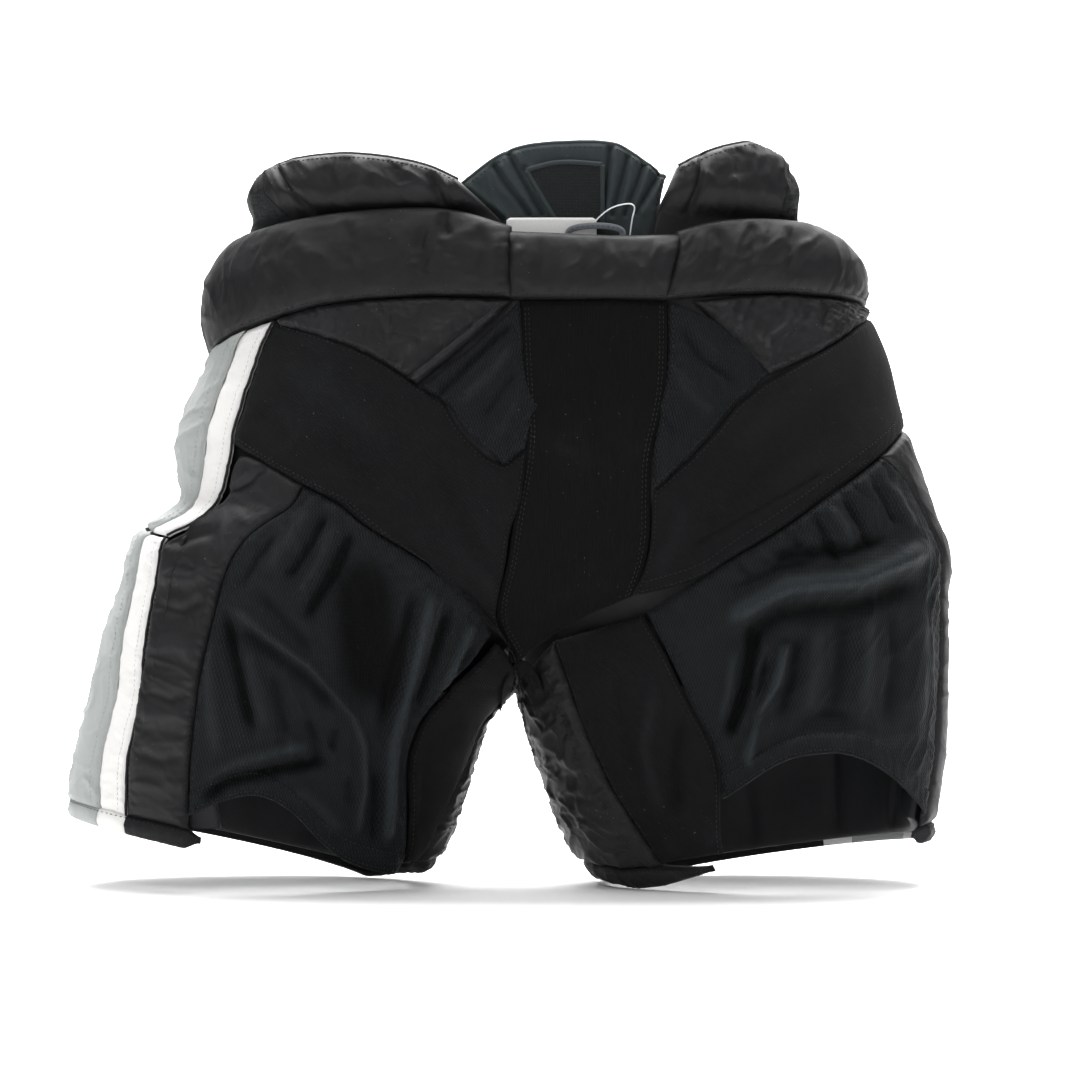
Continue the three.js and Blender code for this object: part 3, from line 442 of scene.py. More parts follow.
def wall(outer: Array, inner: Array, uv: Array) -> tuple[Array, Array, Array]:
    """A closed wall between two grids of the same size.

    Each cell gives a face on either grid, turned apart, and each border cell a face that joins them.

    Args:
        outer: The outer grid, rows by columns by 3.
        inner: The inner grid.
        uv: Texture places of the outer grid.

    Returns:
        Vertices, faces and texture places.
    """
    rows, columns = outer.shape[:2]
    near = np.arange(rows * columns).reshape(rows, columns)
    far = near + rows * columns
    a, b, c, d = near[:-1, :-1], near[:-1, 1:], near[1:, 1:], near[1:, :-1]
    e, f, g, h = far[:-1, :-1], far[:-1, 1:], far[1:, 1:], far[1:, :-1]
    stack = lambda *k: np.stack([np.ravel(i) for i in k], axis=-1)
    faces = [
        stack(a, b, c, d), stack(e, h, g, f),
        stack(b[0], a[0], e[0], f[0]), stack(d[-1], c[-1], g[-1], h[-1]),
        stack(a[:, 0], d[:, 0], h[:, 0], e[:, 0]), stack(c[:, -1], b[:, -1], f[:, -1], g[:, -1]),
    ]
    quads = np.concatenate(faces)
    i, j = rows // 2, columns // 2
    i, j = min(i, rows - 2), min(j, columns - 2)
    face = np.cross(outer[i, j + 1] - outer[i, j], outer[i + 1, j] - outer[i, j])
    if face @ (outer[i, j] - inner[i, j]) < 0:
        quads = quads[:, ::-1]
    points = np.concatenate([outer.reshape(-1, 3), inner.reshape(-1, 3)])
    return points, quads, np.concatenate([uv.reshape(-1, 2)] * 2)


@dataclass
class Track:
    """A line on a surface: points and the surface's outward directions there."""

    points: Array
    out: Array

    def even(self, step: float) -> "Track":
        """The same track with evenly spaced points."""
        gone = run_along(self.points)
        at = np.linspace(0, gone[-1], max(int(gone[-1] / step), 2) + 1)
        pick = lambda a: np.stack([np.interp(at, gone, a[:, k]) for k in range(3)], axis=-1)
        return Track(pick(self.points), pick(self.out))

    def lifted(self, distance: float | Array) -> "Track":
        """The same track, moved outwards."""
        return Track(self.points + self.out * np.reshape(distance, (-1, 1)), self.out)

    def frames(self) -> tuple[Array, Array, Array]:
        """Directions along, across and out at each point."""
        ahead = unit(np.gradient(self.points, axis=0))
        across = unit(np.cross(ahead, self.out))
        return ahead, across, np.cross(across, ahead)


def unit(vectors: Array) -> Array:
    """Vectors scaled to length one."""
    return vectors / np.maximum(np.linalg.norm(vectors, axis=-1, keepdims=True), 1e-9)


def tube(name: str, track: Track, radius: float | Array, flat: float = 1.0, sides: int = 10,
         closed: bool = False) -> bpy.types.Object:
    """A round cord carried along a track.

    Args:
        name: The piece's name.
        track: Its centre line.
        radius: Half its width, one number or one for each point.
        flat: Its height as a share of its width.
        sides: Points round it.
        closed: Whether its end meets its start.

    Returns:
        The new object.
    """
    _, across, out = track.frames()
    count = len(track.points)
    size = np.broadcast_to(np.asarray(radius, float), (count,)).copy()
    turn = np.linspace(0, 2 * np.pi, sides, endpoint=False)
    ring = (np.cos(turn)[None, :, None] * across[:, None] + flat * np.sin(turn)[None, :, None] * out[:, None])
    points = (track.points[:, None] + ring * size[:, None, None]).reshape(-1, 3)
    number = np.arange(count * sides).reshape(count, sides)
    if closed:
        low, high = number, np.roll(number, -1, axis=0)
    else:
        low, high = number[:-1], number[1:]
    nxt = lambda a: np.roll(a, -1, axis=1)
    quads = np.stack([low.ravel(), nxt(low).ravel(), nxt(high).ravel(), high.ravel()], axis=-1)
    gone = run_along(track.points)
    uv = np.stack(np.broadcast_arrays(gone[:, None], turn[None] * np.mean(size)), axis=-1).reshape(-1, 2)
    if not closed:
        ends = np.stack([track.points[0], track.points[-1]])
        points = np.concatenate([points, ends])
        uv = np.concatenate([uv, [[0, 0], [gone[-1], 0]]])
        start, stop = count * sides, count * sides + 1
        caps = [np.stack([np.roll(number[0], -1), number[0], np.full(sides, start)], -1),
                np.stack([number[-1], np.roll(number[-1], -1), np.full(sides, stop)], -1)]
        made = make_mixed(name, points, quads, np.concatenate(caps), uv * MM)
    else:
        made = make_mesh(name, points, quads, uv * MM)
    return outward_mesh(made)


def make_mixed(name: str, points: Array, quads: Array, triangles: Array, uv: Array) -> bpy.types.Object:
    """A mesh object of quads and triangles."""
    mesh = bpy.data.meshes.new(name)
    mesh.from_pydata(((points + TO_ROW) * MM).tolist(), [], quads.tolist() + triangles.tolist())
    mesh.polygons.foreach_set("use_smooth", np.ones(len(mesh.polygons), bool))
    layer = mesh.uv_layers.new(name="cloth")
    corners = np.zeros(len(mesh.loops), np.int32)
    mesh.loops.foreach_get("vertex_index", corners)
    layer.data.foreach_set("uv", uv[corners].astype(np.float32).ravel())
    mesh.update()
    made = bpy.data.objects.new(piece_name(name), mesh)
    bpy.context.scene.collection.objects.link(made)
    return made


def coated(piece: bpy.types.Object, finish: "Finish") -> bpy.types.Object:
    """The piece, with one finish in place of any that it had."""
    piece.data.materials.clear()
    piece.data.materials.append(finish.material())
    return piece


def outward_mesh(made: bpy.types.Object) -> bpy.types.Object:
    """The object with its faces turned so that its volume is positive."""
    mesh = made.data
    count = len(mesh.vertices)
    points = np.zeros(count * 3, np.float32)
    mesh.vertices.foreach_get("co", points)
    points = points.reshape(-1, 3).astype(float)
    mesh.calc_loop_triangles()
    corners = np.zeros(len(mesh.loop_triangles) * 3, np.int32)
    mesh.loop_triangles.foreach_get("vertices", corners)
    a, b, c = points[corners.reshape(-1, 3)].transpose(1, 0, 2) - points.mean(0)
    if np.einsum("ij,ij->i", a, np.cross(b, c)).sum() < 0:
        mesh.flip_normals()
    return made


def stitches(name: str, tracks: Iterable[Track], pitch: float = 4.2, length: float = 3.0,
             width: float = 0.9, height: float = 0.45) -> bpy.types.Object:
    """Rows of thread: each stitch is a long eight-sided bead on its track.

    Args:
        name: The piece's name.
        tracks: The rows.
        pitch: From one stitch to the next.
        length: A stitch's length.
        width: A stitch's width.
        height: How far it stands out of the cloth.

    Returns:
        The new object.
    """
    beads = []
    for track in tracks:
        row = track.even(pitch)
        ahead, across, out = row.frames()
        middle = row.points + out * 0.1
        half = [ahead * length / 2, across * width / 2, out * height]
        beads.append(np.stack([middle + sign * step for step in half for sign in (1, -1)], axis=1))
    points = np.concatenate(beads)
    one = np.array([[0, 2, 4], [2, 1, 4], [1, 3, 4], [3, 0, 4], [2, 0, 5], [1, 2, 5], [3, 1, 5], [0, 3, 5]])
    faces = (one[None] + 6 * np.arange(len(points))[:, None, None]).reshape(-1, 3)
    return outward_mesh(make_mesh(name, points.reshape(-1, 3), faces))


# ---------------------------------------------------------------------------------------------
# Panels
# ---------------------------------------------------------------------------------------------


THREAD_LIFT = 0.1
# Painted shade: a fold's furrow this deep is painted fully dark at its bottom.
FOLD_SHADE_DEPTH = 8.0  # a fold this deep, in millimetres, is dark to its bottom


class Panel:
    """A piece of cloth or padding as a fine grid on the trunk, raised and lowered along its normals."""

    def __init__(self, name: str, place: Place, step: float = 2.4, lift: float = 0.0) -> None:
        """Lays the grid.

        Args:
            name: The piece's name.
            place: The surface, as a function of two shares.
            step: The grid's spacing.
            lift: How far the cloth lies off the trunk at first.
        """
        self.name = name
        rough = place(*np.meshgrid(np.linspace(0, 1, 17), np.linspace(0, 1, 17)))
        span = lambda axis: np.linalg.norm(np.diff(rough, axis=axis), axis=-1).sum(axis=axis).max()
        counts = [int(np.clip(span(axis) / step, 8, 260)) for axis in (1, 0)]
        self.u, self.t = np.meshgrid(*(np.linspace(0, 1, n + 1) for n in counts))
        self.base = place(self.u, self.t)
        across = np.gradient(self.base, axis=1)
        up = np.gradient(self.base, axis=0)
        out = unit(np.cross(across, up))
        core = self.base.copy()
        core[..., 0] = TRUNK.core(self.base)
        core[..., 1] = 0
        middle = np.einsum("ijk,ijk->ij", out, self.base - core).sum()
        self.out = -out if middle < 0 else out
        self.x, self.z = self.base[..., 0], self.base[..., 2]
        beside = np.diff(self.base, axis=1, prepend=self.base[:, :1])
        below = np.diff(self.base, axis=0, prepend=self.base[:1])
        gone = np.cumsum(np.linalg.norm(beside, axis=-1), axis=1)
        risen = np.cumsum(np.linalg.norm(below, axis=-1), axis=0)
        self.far = {
            Edge.LEFT: gone, Edge.RIGHT: gone[:, -1:] - gone,
            Edge.LOW: risen, Edge.HIGH: risen[-1:] - risen,
        }
        self.uv = np.stack([self.x[:, :1] + gone * np.sign(self.x[0, -1] - self.x[0, 0] or 1), self.z], -1)
        self.height = np.full(self.u.shape, lift)
        self.hollow = np.zeros(self.u.shape)

    def near(self, edges: Iterable[Edge]) -> Array:
        """Distance to the nearest of some edges."""
        return np.min([self.far[edge] for edge in edges], axis=0)

    def sew(self, depth: float = 3.0, width: float = 4.0, edges: Iterable[Edge] = tuple(Edge)) -> "Panel":
        """Sinks the edges into their seams, by a bell on the distance to the edge."""
        self.height = self.height - depth * np.exp(-((self.near(edges) / width) ** 2))
        return self

    def stuff(self, rise: float, width: float, edges: Iterable[Edge] = tuple(Edge)) -> "Panel":
        """Raises the middle like a stuffed pad: a quarter circle over a width from the edges."""
        self.height = self.height + rise * rounded(self.near(edges) / width)
        return self

    def fold(self, *folds: Fold) -> "Panel":
        """Adds folds, and keeps their depth for the painted shade in furrows and the painted highlight on
        crests.
        """
        change = sum(f.height(self.x, self.z) for f in folds)
        self.height = self.height + change
        self.hollow = self.hollow - change / FOLD_SHADE_DEPTH
        return self

    def cells(self, size: float, turn: float, stretch: float) -> tuple[Array, Array]:
        """Places on the cloth, turned by degrees from the vertical and counted in cells of a size."""
        c, s = math.cos(math.radians(turn)), math.sin(math.radians(turn))
        a = (self.uv[..., 0] * c + self.uv[..., 1] * s) / size
        return a, (self.uv[..., 1] * c - self.uv[..., 0] * s) / (size * stretch)

    def rumple(self, size: float, rise: float, seed: int, turn: float = 0.0, stretch: float = 1.0,
               mask: Array | float = 1.0) -> "Panel":
        """Creases all over: sharp ridges where a warped noise crosses zero.

        Args:
            size: The creases' spacing.
            rise: Their height.
            seed: Their own number.
            turn: Which way they run, in degrees from the vertical.
            stretch: How much longer than wide they are.
            mask: Where they show.

        Returns:
            The panel.
        """
        a, b = self.cells(size, turn, stretch)
        a = a + 0.7 * noise(a * 0.6 + 9, b * 0.6, seed + 1)
        fine = 0.45 * (1 - np.abs(noise(a * 2.1, b * 2.1, seed + 2))) ** 4
        ridge = (1 - np.abs(noise(a, b, seed))) ** 5 + fine
        self.height = self.height + rise * (ridge - 0.45) * mask
        return self

    def sway(self, size: float, rise: float, seed: int, turn: float = 0.0, stretch: float = 1.0) -> "Panel":
        """Adds broad, soft waves."""
        a, b = self.cells(size, turn, stretch)
        self.height = self.height + rise * (noise(a, b, seed) + 0.4 * noise(a * 2, b * 2, seed + 3))
        return self

    def pucker(self, edge: Edge, pitch: float, rise: float, reach: float, seed: int) -> "Panel":
        """Gathers the cloth at a seam: uneven ripples across the edge that die away from it."""
        run = self.far[Edge.LOW] if edge in (Edge.LEFT, Edge.RIGHT) else self.far[Edge.LEFT]
        away = self.far[edge]
        bent = run / pitch + 0.8 * noise(run / (pitch * 3), away / (reach * 2), seed)
        uneven = 0.6 + 0.6 * noise(run / (pitch * 2) + 4, away / reach, seed + 1)
        ripple = np.abs(np.sin(np.pi * bent)) ** 0.7 * uneven
        shape = np.exp(-away / reach) * (1 - np.exp(-away / 1.5))
        self.height = self.height + rise * (ripple - 0.3) * shape
        return self

    def cling(self, other: "Panel", lift: float) -> "Panel":
        """Lays this piece on another: each point takes the height of the other's nearest point."""
        flat = np.stack([other.x.ravel(), other.z.ravel()])
        mine = np.stack([self.x.ravel(), self.z.ravel()])
        away = ((mine[:, :, None] - flat[:, None, :]) ** 2).sum(axis=0)
        self.height = other.height.ravel()[away.argmin(axis=1)].reshape(self.u.shape) + lift
        return self

    def track(self, edge: Edge, inset: float, start: float = 0.0, stop: float = 1.0,
              lift: float = 0.0) -> Track:
        """A line on the finished surface at a distance from one edge.

        Args:
            edge: The edge.
            inset: Distance from it.
            start: Share of the edge where the line starts.
            stop: Share where it stops.
            lift: Distance above the cloth.

        Returns:
            The track.
        """
        grids = [self.far[edge], self.surface(), self.out]
        if edge in (Edge.LOW, Edge.HIGH):
            grids = [np.swapaxes(a, 0, 1) for a in grids]
        if edge in (Edge.RIGHT, Edge.HIGH):
            grids = [a[:, ::-1] for a in grids]
        last = len(grids[0]) - 1
        picks = np.arange(int(start * last), int(stop * last) + 1)
        order, stack, outs = (a[picks] for a in grids)
        after = np.clip((order < inset).sum(axis=1), 1, order.shape[1] - 1)
        line = np.arange(len(picks))
        d0, d1 = order[line, after - 1], order[line, after]
        share = np.clip((inset - d0) / np.maximum(d1 - d0, 1e-6), 0, 1)[:, None]
        mix = lambda a: a[line, after - 1] * (1 - share) + a[line, after] * share
        return Track(mix(stack), unit(mix(outs))).lifted(lift)

    def surface(self) -> Array:
        """The finished outer surface."""
        return self.base + self.out * self.height[..., None]

    def build(self, finish: "Finish", thick: float | Array = 1.4) -> bpy.types.Object:
        """The closed piece: the surface, and an inner face that lies a thickness below it.

        Args:
            finish: Its finish.
            thick: The thickness, one number or one for each point of the grid.

        Returns:
            The new object.
        """
        outer = self.surface()
        inner = outer - self.out * np.reshape(thick, np.shape(thick) + (1,) if np.ndim(thick) else (1,))
        made = make_mesh(self.name, *wall(outer, inner, self.uv * MM))
        # The fold depth, stored for the colour's painted shade in furrows and painted highlight on crests.
        layer = made.data.attributes.new("hollow", "FLOAT", "POINT")
        layer.data.foreach_set("value", np.tile(self.hollow.ravel(), 2).astype(np.float32))
        return coated(made, finish)


# ---------------------------------------------------------------------------------------------
# Shader maths and finishes
# ---------------------------------------------------------------------------------------------


class Value:
    """A number socket of a shader, to be used like a number."""

    def __init__(self, tree: "Tree", socket: bpy.types.NodeSocket) -> None:
        """Keeps the socket and its tree."""
        self.tree, self.socket = tree, socket

    def join(self, operation: str, *others: "Value | float") -> "Value":
        """A Math node on this value and the others."""
        node = self.tree.node("ShaderNodeMath", {"operation": operation}, dict(enumerate((self, *others))))
        return Value(self.tree, node.outputs[0])

    def __add__(self, other: "Value | float") -> "Value":
        """Sum."""
        return self.join("ADD", other)

    def __sub__(self, other: "Value | float") -> "Value":
        """Difference."""
        return self.join("SUBTRACT", other)

    def __rsub__(self, other: float) -> "Value":
        """Difference from a number."""
        return self * -1 + other

    def __mul__(self, other: "Value | float") -> "Value":
        """Product."""
        return self.join("MULTIPLY", other)

    def __truediv__(self, other: "Value | float") -> "Value":
        """Quotient."""
        return self.join("DIVIDE", other)

    def __pow__(self, other: float) -> "Value":
        """Power."""
        return self.join("POWER", other)

    def __abs__(self) -> "Value":
        """Distance from zero."""
        return self.join("ABSOLUTE")

    __radd__ = __add__
    __rmul__ = __mul__

    def sin(self) -> "Value":
        """Sine."""
        return self.join("SINE")

    def step(self, low: float, high: float) -> "Value":
        """0 below low, 1 above high, and smooth between."""
        node = self.tree.node("ShaderNodeMapRange", {"interpolation_type": "SMOOTHSTEP"},
                              {"Value": self, "From Min": low, "From Max": high})
        return Value(self.tree, node.outputs[0])


class Tree:
    """The nodes of one material."""

    def __init__(self, name: str) -> None:
        """Makes an empty material."""
        self.material = bpy.data.materials.new(name)
        self.material.use_nodes = True
        self.material.node_tree.nodes.clear()

    def node(self, kind: str, settings: dict[str, Any] | None = None,
             sockets: dict[str | int, Any] | None = None) -> bpy.types.Node:
        """Makes a node.

        Args:
            kind: The node's type.
            settings: Its settings, which are set first.
            sockets: Values or links of its inputs.

        Returns:
            The node.
        """
        made = self.material.node_tree.nodes.new(kind)
        for key, value in (settings or {}).items():
            setattr(made, key, value)
        for key, value in (sockets or {}).items():
            link = value.socket if isinstance(value, Value) else value
            if isinstance(link, bpy.types.NodeSocket):
                self.material.node_tree.links.new(link, made.inputs[key])
            else:
                made.inputs[key].default_value = link
        return made

    def cloth(self) -> tuple[Value, Value]:
        """Places along the cloth in metres, from the piece's own texture map."""
        spot = self.node("ShaderNodeUVMap", {"uv_map": "cloth"}).outputs[0]
        split = self.node("ShaderNodeSeparateXYZ", sockets={0: spot})
        return Value(self, split.outputs[0]), Value(self, split.outputs[1])

    def hollow(self) -> Value:
        """How deep in a fold the cloth lies, 1 at the bottom and below 0 on a crest: it drives the colour's
        painted shade in furrows and painted highlight on crests.
        """
        return Value(self, self.node("ShaderNodeAttribute", {"attribute_name": "hollow"}).outputs["Fac"])

    def noise(self, scale: float, detail: float = 3.0, stretch: tuple[float, float, float] = (1, 1, 1),
              roughness: float = 0.55) -> Value:
        """Noise in space, 0 to 1, with a number of blobs to the metre."""
        spot = self.node("ShaderNodeTexCoord").outputs["Object"]
        bent = self.node("ShaderNodeMapping", sockets={"Vector": spot, "Scale": stretch}).outputs[0]
        made = self.node("ShaderNodeTexNoise", sockets={
            "Vector": bent, "Scale": scale, "Detail": detail, "Roughness": roughness})
        return Value(self, made.outputs[0])

    def mixed(self, share: Value, first: Sequence[float] | bpy.types.NodeSocket,
              second: Sequence[float] | bpy.types.NodeSocket) -> bpy.types.NodeSocket:
        """A colour between two."""
        ends = {6: first, 7: second}
        sockets = {k: v if isinstance(v, bpy.types.NodeSocket) else (*v, 1.0) for k, v in ends.items()}
        return self.node("ShaderNodeMix", {"data_type": "RGBA"}, {0: share, **sockets}).outputs[2]

    def surface(self, height: Value | None = None, **sockets: Any) -> bpy.types.Material:
        """Ends the material in one shader.

        Args:
            height: Relief in metres.
            sockets: The shader's own sockets, with _ for a space.

        Returns:
            The material.
        """
        values = {key.replace("_", " "): value for key, value in sockets.items()}
        if height is not None:
            values["Normal"] = self.node("ShaderNodeBump", sockets={
                "Strength": 1.0, "Distance": 1.0, "Height": height}).outputs[0]
        shader = self.node("ShaderNodeBsdfPrincipled", sockets=values)
        self.node("ShaderNodeOutputMaterial", sockets={"Surface": shader.outputs[0]})
        return self.material


class Weave(Enum):
    """How a cloth is made."""

    PLAIN = "plain"
    RIB = "upright ribs"
    DIAGONAL = "slanting ribs"
    TRICOT = "fine warp knit"
    HOLES = "open knit"


@dataclass(frozen=True)
class Cloth:
    """A cloth: its colours, its gloss and its weave.

    The relief is the weave, plus fine crinkles, plus grain. Worn places are paler and rougher. The folds also
    carry painted light: painted shade in their furrows, and a painted highlight in the worn colour on their
    crests.
    """

    name: str
    colour: tuple[float, float, float]
    # The colour of worn places, and also of the painted highlight on fold crests.
    rubbed: tuple[float, float, float]
    roughness: float
    weave: Weave
    pitch: float
    depth: float
    crinkle: float = 0.0
    crinkle_scale: float = 90.0
    wear: float = 0.35
    sheen: float = 0.04
    lint: float = 0.0
    gloss: float = 0.2
    contrast: float = 0.28
    slant: float = 0.0

    def thread(self, tree: Tree) -> Value:
        """Height of the weave, 0 to 1.

        Plain is the product of two sines, ribs are the size of one sine, warp knit is a sine bent by
        another, and open knit is two rows of dots half a step apart.
        """
        u, v = tree.cloth()
        u = u + v * self.slant
        k = 2 * math.pi / self.pitch
        if self.weave is Weave.PLAIN:
            return (u * k).sin() * (v * k).sin() * 0.5 + 0.5
        if self.weave is Weave.RIB:
            return abs((u * (k / 2)).sin())
        if self.weave is Weave.DIAGONAL:
            return abs(((u + v) * (k / 2)).sin())
        if self.weave is Weave.TRICOT:
            return ((u * k) + (v * (k * 0.8)).sin() * 1.4).sin() * 0.5 + 0.5
        dots = (u * k).sin() * (v * k).sin()
        return 1 - (dots * dots).step(0.3, 0.75)

    def make(self) -> bpy.types.Material:
        """The cloth's material."""
        tree = Tree(self.name)
        thread = self.thread(tree)
        wide, fine, grain = tree.noise(9, 4), tree.noise(self.crinkle_scale, 5), tree.noise(1400, 2)
        worn = wide.step(0.52, 0.78) * fine.step(0.3, 0.75) * self.wear
        shade = (1 - self.contrast) + thread * self.contrast
        dark = [c * (1 - max(0.38, self.contrast)) for c in self.colour]
        colour = tree.mixed(shade * (0.75 + grain * 0.45), dark, self.colour)
        colour = tree.mixed(worn + grain.step(0.35, 0.9) * 0.06, colour, self.rubbed)
        hollow = tree.hollow()
        # Painted highlight on the crests of folds, in the same paler colour as the worn places.
        colour = tree.mixed((0 - hollow).step(0.05, 0.8) * 0.45, colour, self.rubbed)
        # Painted shade in the furrows of folds: the colour falls to 6 percent of itself.
        colour = tree.mixed(hollow.step(0.05, 0.95) * 0.88, colour, [c * 0.06 for c in self.colour])
        if self.lint:
            specks = tree.noise(520, 1).step(0.775, 0.80) * wide.step(0.45, 0.6)
            colour = tree.mixed(specks * self.lint, colour, [0.35, 0.35, 0.35])
        height = thread * self.depth + fine * self.crinkle + grain * (self.depth * 0.6)
        return tree.surface(
            height, Base_Color=colour, Roughness=self.roughness + worn * 0.25 + (fine - 0.5) * 0.16,
            Sheen_Weight=self.sheen, Sheen_Roughness=0.45, Specular_IOR_Level=self.gloss)


@dataclass(frozen=True)
class Moulded:
    """Moulded plastic with a fine grain."""

    name: str
    colour: tuple[float, float, float]
    roughness: float = 0.42

    def make(self) -> bpy.types.Material:
        """The plastic's material."""
        tree = Tree(self.name)
        grain, wide = tree.noise(900, 2), tree.noise(24, 3)
        colour = tree.mixed(wide.step(0.4, 0.75), self.colour, [c * 1.4 for c in self.colour])
        return tree.surface(grain * 0.00006, Base_Color=colour, Roughness=self.roughness + wide * 0.15)


@dataclass(frozen=True)
class BrushedSteel:
    """Sheet steel brushed along the belt, with paler worn spots."""

    name: str = "brushed_steel"

    def make(self) -> bpy.types.Material:
        """The steel's material."""
        tree = Tree(self.name)
        lines, spots = tree.noise(900, 3, (0.04, 1, 1)), tree.noise(60, 3)
        colour = tree.mixed(spots, [0.30, 0.30, 0.31], [0.52, 0.52, 0.53])
        return tree.surface(lines * 0.00003, Base_Color=colour, Metallic=1.0,
                            Roughness=0.24 + lines * 0.18 + spots * 0.1)


@dataclass(frozen=True)
class Card:
    """Smooth white card with a faint fibre."""

    name: str = "tag_card"

    def make(self) -> bpy.types.Material:
        """The card's material."""
        tree = Tree(self.name)
        fibre = tree.noise(1100, 3, (1, 1, 0.3))
        colour = tree.mixed(fibre, [0.70, 0.70, 0.69], [0.86, 0.86, 0.85])
        return tree.surface(fibre * 0.00002, Base_Color=colour, Roughness=0.5 + fibre * 0.15)


@dataclass(frozen=True)
class ClearPlastic:
    """The milky plastic of a loop pin."""

    name: str = "loop_plastic"

    def make(self) -> bpy.types.Material:
        """The plastic's material."""
        tree = Tree(self.name)
        cloud = tree.noise(300, 2)
        colour = tree.mixed(cloud, [0.62, 0.64, 0.65], [0.82, 0.83, 0.84])
        return tree.surface(cloud * 0.00002, Base_Color=colour, Roughness=0.25 + cloud * 0.1)


@dataclass(frozen=True)
class PaleGround:
    """The studio's white ground."""

    name: str = "studio_ground"

    def make(self) -> bpy.types.Material:
        """The ground's material."""
        tree = Tree(self.name)
        return tree.surface(Base_Color=(0.92, 0.92, 0.92, 1.0), Roughness=0.9)


class Finish(Enum):
    """Every finish of the pants and of the studio."""

    NYLON = Cloth("black_nylon", (0.0046, 0.0048, 0.0057), (0.036, 0.037, 0.041), 0.52, Weave.PLAIN, 0.0011,
                  0.00010, 0.0005, 110, 0.55, 0.02, 0.5, 0.25)
    STRETCH = Cloth("matte_stretch", (0.0042, 0.0045, 0.0047), (0.020, 0.021, 0.022), 0.86, Weave.RIB, 0.0024,
                    0.00022, 0.0003, 60, 0.35, 0.02, 0.35, 0.07)
    BAND = Cloth("diagonal_stretch", (0.0048, 0.0050, 0.0056), (0.026, 0.027, 0.029), 0.84, Weave.DIAGONAL,
                 0.0026, 0.00026, 0.0003, 60, 0.3, 0.02, 0.35, 0.12)
    TRICOT = Cloth("warp_knit", (0.0150, 0.0172, 0.0186), (0.036, 0.042, 0.046), 0.5, Weave.TRICOT, 0.0027,
                   0.00042, 0.0004, 90, 0.3, 0.02, 0.25, 0.05, 0.85, 0.3)
    WHITE = Cloth("white_cloth", (0.80, 0.79, 0.775), (0.66, 0.64, 0.63), 0.78, Weave.TRICOT, 0.0018,
                  0.00018, 0.0007, 100, 0.25, 0.1)
    GREY = Cloth("grey_cloth", (0.355, 0.375, 0.365), (0.27, 0.28, 0.275), 0.72, Weave.TRICOT, 0.0018,
                 0.00020, 0.0009, 90, 0.35, 0.1)
    SPINE = Cloth("spine_cloth", (0.0270, 0.0350, 0.0375), (0.06, 0.074, 0.078), 0.72, Weave.PLAIN, 0.0013,
                  0.00016, 0.0004, 80, 0.35, 0.04, 0.4, 0.2)
    LINING = Cloth("dark_lining", (0.0055, 0.0062, 0.0076), (0.02, 0.022, 0.025), 0.5, Weave.TRICOT, 0.0016,
                   0.00012, 0.0008, 60, 0.3, 0.02, 0.0, 0.28)
    COARSE = Cloth("coarse_mesh", (0.0065, 0.0082, 0.0088), (0.03, 0.033, 0.035), 0.55, Weave.HOLES, 0.0052,
                   0.0009, 0.0003, 60, 0.2, 0.02)
    TAPE = Cloth("binding_tape", (0.0060, 0.0064, 0.0072), (0.05, 0.052, 0.055), 0.6, Weave.RIB, 0.0014,
                 0.00016, 0.0006, 110, 0.5, 0.03)
    WEBBING = Cloth("belt_webbing", (0.0070, 0.0074, 0.0085), (0.04, 0.04, 0.045), 0.7, Weave.DIAGONAL,
                    0.0030, 0.0003, 0.0002, 60, 0.4, 0.05)
    LABEL = Cloth("grey_label", (0.16, 0.17, 0.175), (0.26, 0.27, 0.28), 0.75, Weave.DIAGONAL, 0.0016,
                  0.0002, 0.0003, 90, 0.4, 0.1)
    BLACK_THREAD = Cloth("black_thread", (0.011, 0.0115, 0.013), (0.05, 0.05, 0.05), 0.55, Weave.PLAIN,
                         0.0008, 0.00008)
    BLUE_THREAD = Cloth("blue_thread", (0.02, 0.07, 0.22), (0.08, 0.15, 0.32), 0.55, Weave.PLAIN, 0.0008,
                        0.00008)
    WHITE_THREAD = Cloth("white_thread", (0.62, 0.61, 0.60), (0.5, 0.5, 0.5), 0.6, Weave.PLAIN, 0.0008,
                         0.00008)
    PLATE = Moulded("guard_plate", (0.028, 0.03, 0.033))
    STEEL = BrushedSteel()
    CARD = Card()
    CLEAR = ClearPlastic()
    GROUND = PaleGround()

    def material(self) -> bpy.types.Material:
        """This finish's material, made once."""
        return bpy.data.materials.get(self.value.name) or self.value.make()


# ---------------------------------------------------------------------------------------------
# Assemblies
# ---------------------------------------------------------------------------------------------


def row(x: float, y: float, z: float) -> tuple[float, float, float]:
    """A pattern point in the row's frame, in metres."""
    return tuple(float(v) for v in (np.array([x, y, z]) + TO_ROW) * MM)


@dataclass(frozen=True)
class Crossing:
    """Where cloth turns from the waist's motion to a leg's, as two points that the turn lies between."""

    start: tuple[float, float]
    end: tuple[float, float]


CROSSINGS = {
    Side.LEFT: Crossing((-120.0, 286.0), (-181.5, 207.2)),
    Side.RIGHT: Crossing((130.0, 258.0), (182.7, 173.0)),
}


THREAD_SLOTS = {Finish.WHITE_THREAD: "white", Finish.GREY: "grey"}


